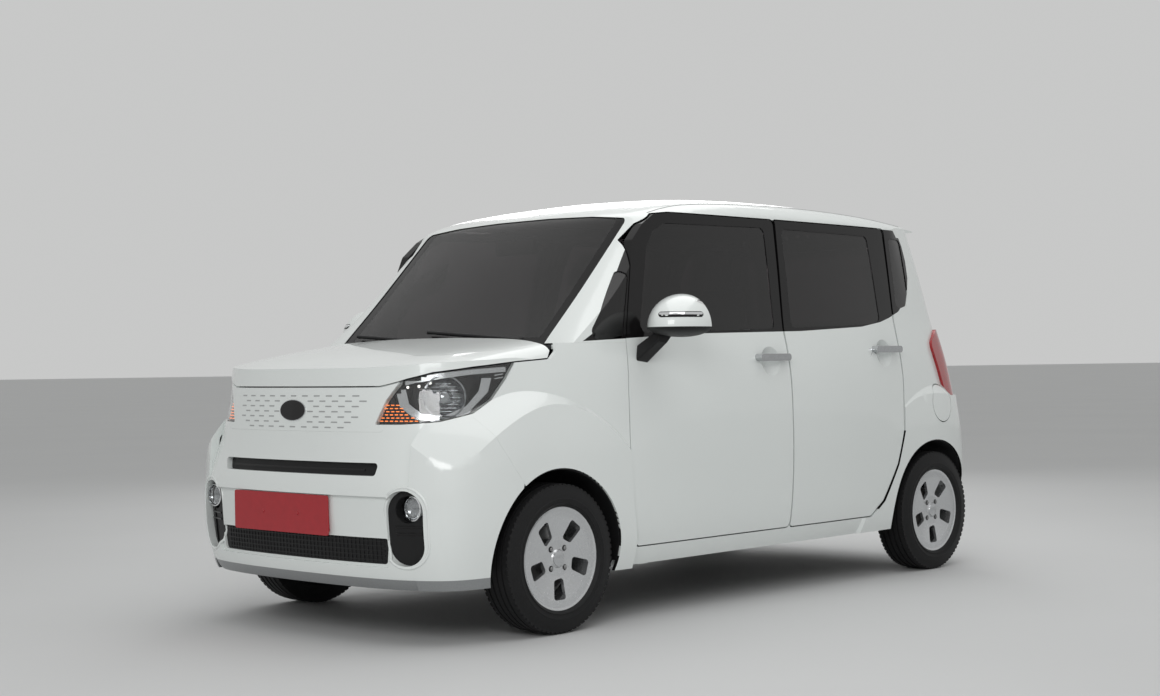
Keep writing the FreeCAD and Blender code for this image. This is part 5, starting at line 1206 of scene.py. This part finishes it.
@dataclass
class Glazing:
    """Printed borders of the windscreen and the tailgate glass, and the rear-view mirror."""

    border: float = 0.055

    def shrunk(self, node: str, look: Look, margins: tuple[float, float]) -> Outline:
        """The outline of a node drawn inwards.

        Args:
            node: The node.
            look: The looking axis.
            margins: How far in, along each flat coordinate.

        Returns:
            The outline.
        """
        spots = [Vector(look.flat(vertex.co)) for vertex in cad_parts[node].data.vertices]
        hull = geometry.convex_hull_2d(spots)
        points = [spots[i] for i in hull]
        middle = sum(points, Vector((0, 0))) / len(points)
        reach = [max(abs(p[k] - middle[k]) for p in points) for k in (0, 1)]
        shares = [1 - margins[k] / reach[k] for k in (0, 1)]
        return [tuple(middle[k] + (p[k] - middle[k]) * shares[k] for k in (0, 1)) for p in points]

    def bordered(self, node: str, body: str, look: Look, margins: tuple[float, float], glass: str) -> None:
        """Give a pane its black printed border.

        Args:
            node: The pane's node.
            body: The body it rides on.
            look: The looking axis.
            margins: Width of the border at the sides and at the top and bottom.
            glass: Finish of the clear part.
        """
        mesh = node_copy(node)
        clear = set(cut_along(mesh, look, self.shrunk(node, look, margins)))
        for face in mesh.faces:
            face.material_index = 0 if face in clear else 1
        dressed(node, mesh, body, [glass, "black_gloss"], 40.0)

    def inner_mirror(self) -> None:
        """Hang the rear-view mirror from the top of the screen."""
        shell = block((-0.420, 0.075, 1.462), (-0.392, 0.321, 1.532))
        softened(shell, 0.012, 3)
        bends = ((-0.405, 0.198, 1.520), (-0.450, 0.190, 1.552), (-0.500, 0.185, 1.566))
        stem = tube_mesh([Vector(bend) for bend in bends], 0.009)
        fitted("inner_mirror", merged(shell, stem), "soft_trim")
        face = block((-0.3915, 0.085, 1.470), (-0.3905, 0.311, 1.524))
        fitted("inner_mirror_glass", face, "mirror_silver")

    def build(self) -> None:
        """Build the glazing."""
        self.bordered("windscreen", "body", Look.FRONT, (self.border, 0.030), "screen_glass")
        self.bordered("tailgate_glass", "tailgate", Look.REAR, (0.045, 0.030), "tinted_glass")
        self.inner_mirror()


@dataclass
class Wheels:
    """Tyre tread, wheel nuts, caps, brake discs and drums."""

    nut_circle: float = 0.050
    nuts: int = 4
    hub_face: float = 0.7585
    tyre_radius: float = 0.2768
    cap_face: float = 0.7615
    brake_y: float = 0.700
    tread_half: float = 0.068
    grooves: tuple[float, ...] = (0.042, 0.014, -0.014, -0.042)
    groove_depth: float = 0.0075
    blocks: int = 72

    def tyre(self, name: str, x: float, hand: int, body: str) -> None:
        """Replace a tyre by a turned one with grooves, shoulder blocks and sidewall steps.

        Args:
            name: The wheel's end and side.
            x: Place of its axle.
            hand: LEFT or RIGHT.
            body: The body it rides on.
        """
        r = self.tyre_radius
        low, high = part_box("tyre_" + name)
        half = (high[1] - low[1]) / 2 - 0.0005
        side = [(0.1840, 0.060), (0.1900, half - 0.012), (0.1990, half - 0.004), (0.2020, half - 0.0005),
                (0.2050, half - 0.0035), (0.2210, half), (0.2230, half - 0.0016), (0.2440, half - 0.004),
                (0.2590, half - 0.011), (0.2680, self.tread_half + 0.002)]
        grooves = []
        for place in self.grooves:
            grooves += [(r - 0.0008, place + 0.0040), (r - self.groove_depth, place + 0.0028),
                        (r - self.groove_depth, place - 0.0028), (r - 0.0008, place - 0.0040)]
        tread = [(r - 0.0030, self.tread_half - 0.004), *grooves, (r - 0.0030, -self.tread_half + 0.004)]
        profile = [*side, *tread, *[(a, -b) for a, b in reversed(side)]]
        mesh = turned(profile, Vector((x, WHEEL_Y * hand, WHEEL_Z)), Vector((0, 1, 0)), 96)
        for k in range(self.blocks):
            for edge in (LEFT, RIGHT):
                turn = Matrix.Rotation(math.tau * k / self.blocks, 4, "Y")
                lug = block((-0.0075, -0.0085, -0.0035), (0.0075, 0.0085, 0.0035))
                place = Matrix.Translation((x, WHEEL_Y * hand + edge * (self.tread_half - 0.0065), WHEEL_Z)) @ turn
                bmesh.ops.transform(lug, matrix=place @ Matrix.Translation((0, 0, r - 0.0062)), verts=lug.verts[:])
                mesh = merged(mesh, lug)
        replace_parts(fitted("tyre_tread_" + name, mesh, "tyre_rubber", body, 32.0), "tyre_" + name)

    def hub_parts(self, name: str, x: float, hand: int, body: str) -> None:
        """Put nuts and the plain cap on a wheel.

        Args:
            name: The wheel's end and side.
            x: Place of its axle.
            hand: LEFT or RIGHT.
            body: The body it rides on.
        """
        out = Vector((0, hand, 0))
        profile = ((0.0, 0.010), (0.0055, 0.009), (0.0078, 0.007), (0.0080, 0.0), (0.0, 0.0))
        nuts = []
        for k in range(self.nuts):
            angle = math.tau * (k + 0.5) / self.nuts
            centre = Vector((x + math.sin(angle) * self.nut_circle, hand * (self.hub_face - 0.004),
                             WHEEL_Z + math.cos(angle) * self.nut_circle))
            nuts.append(turned(profile, centre, out, 6))
        fitted("wheel_nuts_" + name, merged(*nuts), "disc_iron", body, smooth=30.0)
        cap = turned(((0.0, 0.0052), (0.020, 0.0048), (0.0275, 0.0030), (0.0290, 0.0), (0.0, 0.0)),
                     Vector((x, hand * self.cap_face, WHEEL_Z)), out, 40)
        fitted("wheel_cap_" + name, cap, "silver_trim", body, smooth=30.0)

    def brake(self, name: str, x: float, hand: int, body: str) -> None:
        """Put a disc or a drum behind the wheel.

        Args:
            name: The wheel's end and side.
            x: Place of its axle.
            hand: LEFT or RIGHT.
            body: The body it rides on.
        """
        front = name.startswith("front")
        if front:
            profile = ((0.058, 0.030), (0.068, 0.028), (0.070, 0.006), (0.118, 0.006), (0.118, -0.012), (0.058, -0.012))
        else:
            profile = ((0.030, 0.032), (0.092, 0.030), (0.100, 0.022), (0.104, -0.012), (0.030, -0.012))
        mesh = turned(profile, Vector((x, hand * self.brake_y, WHEEL_Z)), Vector((0, hand, 0)), 64)
        fitted("brake_" + name, mesh, "disc_iron" if front else "iron", body, smooth=30.0)

    def build(self) -> None:
        """Dress the four wheels."""
        for end, x in (("front", FRONT_AXLE), ("rear", REAR_AXLE)):
            for side, hand in (("left", LEFT), ("right", RIGHT)):
                for dress in (self.tyre, self.hub_parts, self.brake):
                    dress(f"{end}_{side}", x, hand, f"wheel_{end}_{side}")


@dataclass
class RoofTrim:
    """Grey strips in the roof ditches that paint the ditches' shade."""

    ditch: tuple[tuple[float, float, float], ...] = (
        (-0.498, 0.636, 1.570), (-0.444, 0.637, 1.600), (-0.290, 0.617, 1.630), (0.272, 0.609, 1.657),
        (0.819, 0.586, 1.657), (1.365, 0.590, 1.612))

    def build(self) -> None:
        """Lay the grey strips of painted shade along the roof's edges."""
        tree = node_tree("roof_panel", "body_side_left", "body_side_right")
        lines = []
        line = bpy.data.curves.new("ditch", "CURVE")
        line.dimensions = "3D"
        spline = line.splines.new("NURBS")
        spline.points.add(len(self.ditch) - 1)
        for point, (x, y, z) in zip(spline.points, self.ditch):
            point.co = (x, -y, z, 1)
        spline.order_u, spline.use_endpoint_u, spline.resolution_u = 3, True, 8
        carrier = bpy.data.objects.new("ditch", line)
        smooth = bpy.data.meshes.new_from_object(carrier)
        for vertex in smooth.vertices:
            spot, _, _, _ = tree.ray_cast(Vector((vertex.co.x, vertex.co.y, RAY_START)), Vector((0, 0, -1)))
            if spot is not None:
                lines.append(spot - Vector((0, 0, 0.0015)))
        bpy.data.objects.remove(carrier)
        bpy.data.curves.remove(line)
        bpy.data.meshes.remove(smooth)
        mesh = both_sides(tube_mesh(lines, 0.0035, 8))
        # the grey strip paints the shade in the roof ditch
        fitted("roof_ditch_strips", mesh, "painted_shade_grey", smooth=60.0)


@dataclass
class RearFace:
    """Rear wiper, blank plate, handle strip, third lamp, bumper insert and reflectors."""

    def build(self) -> None:
        """Build the rear."""
        rear, gate = Look.REAR, node_tree("tailgate", "tailgate_glass")
        plate = rounded(((-0.165, 0.760), (0.165, 0.760), (0.165, 0.850), (-0.165, 0.850)), 0.008)
        strip = rounded(((-0.240, 0.890), (0.240, 0.890), (0.228, 0.918), (-0.228, 0.918)), 0.006)
        applied("rear_plate", "tailgate", "blank_plate", rear, plate, gate, 0.002, 0.002, 0.06)
        applied("gate_handle_strip", "tailgate", "chrome", rear, strip, gate, 0.002, 0.004)
        points = [self.on_gate(gate, y, z) for y, z in ((0.030, 1.170), (0.020, 1.185), (-0.12, 1.205), (-0.30, 1.215))]
        arm = tube_mesh(points, 0.0055, 8)
        blade = tube_mesh([self.on_gate(gate, y, 1.222) for y in (-0.36, -0.20, -0.04)], 0.004, 6)
        fitted("rear_wiper", merged(arm, blade), "black_plastic", "tailgate")
        tree = node_tree("rear_bumper")
        lights = [stadium((y, 0.455), 0.150, 0.030, 8) for y in (-0.56, 0.56)]
        fitted("rear_reflectors", many(rear, lights, tree, 0.001, 0.003), "red_lens")
        lower = rounded(((-0.46, 0.235), (0.46, 0.235), (0.50, 0.330), (-0.50, 0.330)), 0.03)
        insert = applied("rear_bumper_insert", "body", "black_plastic", rear, lower, tree, 0.001, 0.003)
        third = rounded(((-0.150, 1.583), (0.150, 1.583), (0.150, 1.600), (-0.150, 1.600)), 0.004)
        applied("third_lamp", "tailgate", "red_lens", rear, third, gate, 0.001, 0.003)

    def on_gate(self, gate: BVHTree, y: float, z: float) -> Vector:
        """A point 8 mm off the tailgate."""
        spot, _, _, _ = gate.ray_cast(Look.REAR.place(y, z, -RAY_START), Look.REAR.ahead)
        return spot + Vector((0.008, 0, 0))


@dataclass
class Cabin:
    """Seats swollen by cloth simulation, on their posts and frames."""

    voxel: float = 0.006
    most_swell: float = 0.014
    pressure: float = 4.0
    frames: int = 20
    posts: tuple[float, ...] = (-0.385, -0.305)

    def cushion(self, low: Sequence[float], high: Sequence[float], lean: float = 0.0,
                crown: float = 0.05) -> bmesh.types.BMesh:
        """A rounded cushion that leans back.

        Args:
            low: Its lowest corner.
            high: Its highest corner.
            lean: How far its top stands behind its foot.
            crown: Rounding of its corners.

        Returns:
            Its mesh.
        """
        mesh = block(low, high)
        softened(mesh, crown, 4)
        for vertex in mesh.verts:
            share = (vertex.co.z - low[2]) / (high[2] - low[2])
            vertex.co.x += lean * share
        return mesh

    def swollen(self, name: str, mesh: bmesh.types.BMesh, mirrored: bool) -> bpy.types.Object:
        """Swell a cushion with a cloth simulation and fix the result in its mesh.

        Args:
            name: The piece's name.
            mesh: Its shape.
            mirrored: Whether a twin stands on the other side.

        Returns:
            The piece.
        """
        data = bpy.data.meshes.new(name)
        mesh.to_mesh(data)
        mesh.free()
        pad = bpy.data.objects.new(name, data)
        bpy.context.scene.collection.objects.link(pad)
        grid = pad.modifiers.new("grid", "REMESH")
        grid.mode, grid.voxel_size = "VOXEL", self.voxel
        before = self.taken(pad)
        cloth = pad.modifiers.new("cloth", "CLOTH")
        cloth.settings.use_pressure, cloth.settings.uniform_pressure_force = True, self.pressure
        cloth.settings.effector_weights.gravity = 0.0
        cloth.settings.quality = 3
        cloth.point_cache.frame_start, cloth.point_cache.frame_end = 1, self.frames
        for step in range(1, self.frames + 1):
            bpy.context.scene.frame_set(step)
        after = self.taken(pad)
        for start, end in zip(before.vertices, after.vertices):
            way = end.co - start.co
            if way.length > self.most_swell:
                end.co = start.co + way * (self.most_swell / way.length)
        pad.modifiers.clear()
        pad.data = after
        bpy.context.scene.frame_set(1)
        soft = bmesh.new()
        soft.from_mesh(pad.data)
        bpy.data.objects.remove(pad)
        bmesh.ops.smooth_vert(soft, verts=soft.verts[:], factor=0.5, use_axis_x=True, use_axis_y=True, use_axis_z=True)
        piece = fitted(name, both_sides(soft) if mirrored else soft, "seat_cloth", smooth=80.0)
        return piece

    def taken(self, pad: bpy.types.Object) -> bpy.types.Mesh:
        """The mesh of a pad as its modifiers leave it now."""
        view = bpy.context.evaluated_depsgraph_get()
        return bpy.data.meshes.new_from_object(pad.evaluated_get(view))

    def build(self) -> None:
        """Make the front seats and the rear bench."""
        pad = self.cushion((-0.245, -0.570, 0.440), (0.235, -0.120, 0.585))
        cushions = self.swollen("front_seat_cushions", pad, True)
        self.swollen("front_seat_backs", self.cushion((0.150, -0.570, 0.540), (0.290, -0.120, 1.070), 0.070), True)
        self.swollen("front_headrests", self.cushion((0.255, -0.475, 1.125), (0.345, -0.215, 1.295), 0.02, 0.035), True)
        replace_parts(cushions, "front_seats")
        bench = self.swollen("bench_cushion", self.cushion((0.740, -0.545, 0.420), (1.190, 0.545, 0.565)), False)
        self.swollen("bench_back", self.cushion((1.130, -0.545, 0.540), (1.240, 0.545, 1.050), 0.070), False)
        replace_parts(bench, "rear_bench")
        posts = [tube_mesh([Vector((0.300, y, 1.050)), Vector((0.310, y, 1.140))], 0.006) for y in self.posts]
        fitted("headrest_posts", both_sides(merged(*posts)), "chrome")
        seat = block((-0.215, -0.540, 0.275), (0.215, -0.150, 0.450))
        base = block((0.770, -0.530, 0.275), (1.240, 0.530, 0.430))
        for mesh in (seat, base):
            softened(mesh, 0.012, 2)
        fitted("seat_frames", merged(both_sides(seat), base), "soft_trim")


PLAIN = {
    "tinted_glass": ["fixed_side_glass", "front_door_left_glass", "front_door_right_glass", "rear_door_left_glass"],
    "black_plastic": ["bumper_grilles", "arch_liners", "fuel_tank", "steering_wheel", "wipers"],
    "soft_trim": ["dashboard"], "red_plate": ["number_plate"], "red_lens": ["tail_lamps"],
    "painted_steel": ["front_subframe", "rear_axle"], "carpet": ["floor_pan"],
    "iron": ["knuckle_left", "knuckle_right"], "cast_alloy": ["engine_block", "radiator"], "bright_steel": ["exhaust"],
    "alloy": ["rim_front_left", "rim_front_right", "rim_rear_left", "rim_rear_right"]}


def main() -> None:
    """Build every sub-assembly in order."""
    logging.basicConfig(level=logging.INFO, format="%(message)s")
    Studio().build()
    for finish, nodes in PLAIN.items():
        for node in nodes:
            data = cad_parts[node].data
            data.materials.clear()
            data.materials.append(Finishes.get(finish))
    for builder in (BodyShell(), Nose(), FrontLamps(), Mirrors(), Glazing(), Wheels(), RoofTrim(), RearFace(), Cabin()):
        builder.build()


if __name__ == "__main__":
    main()
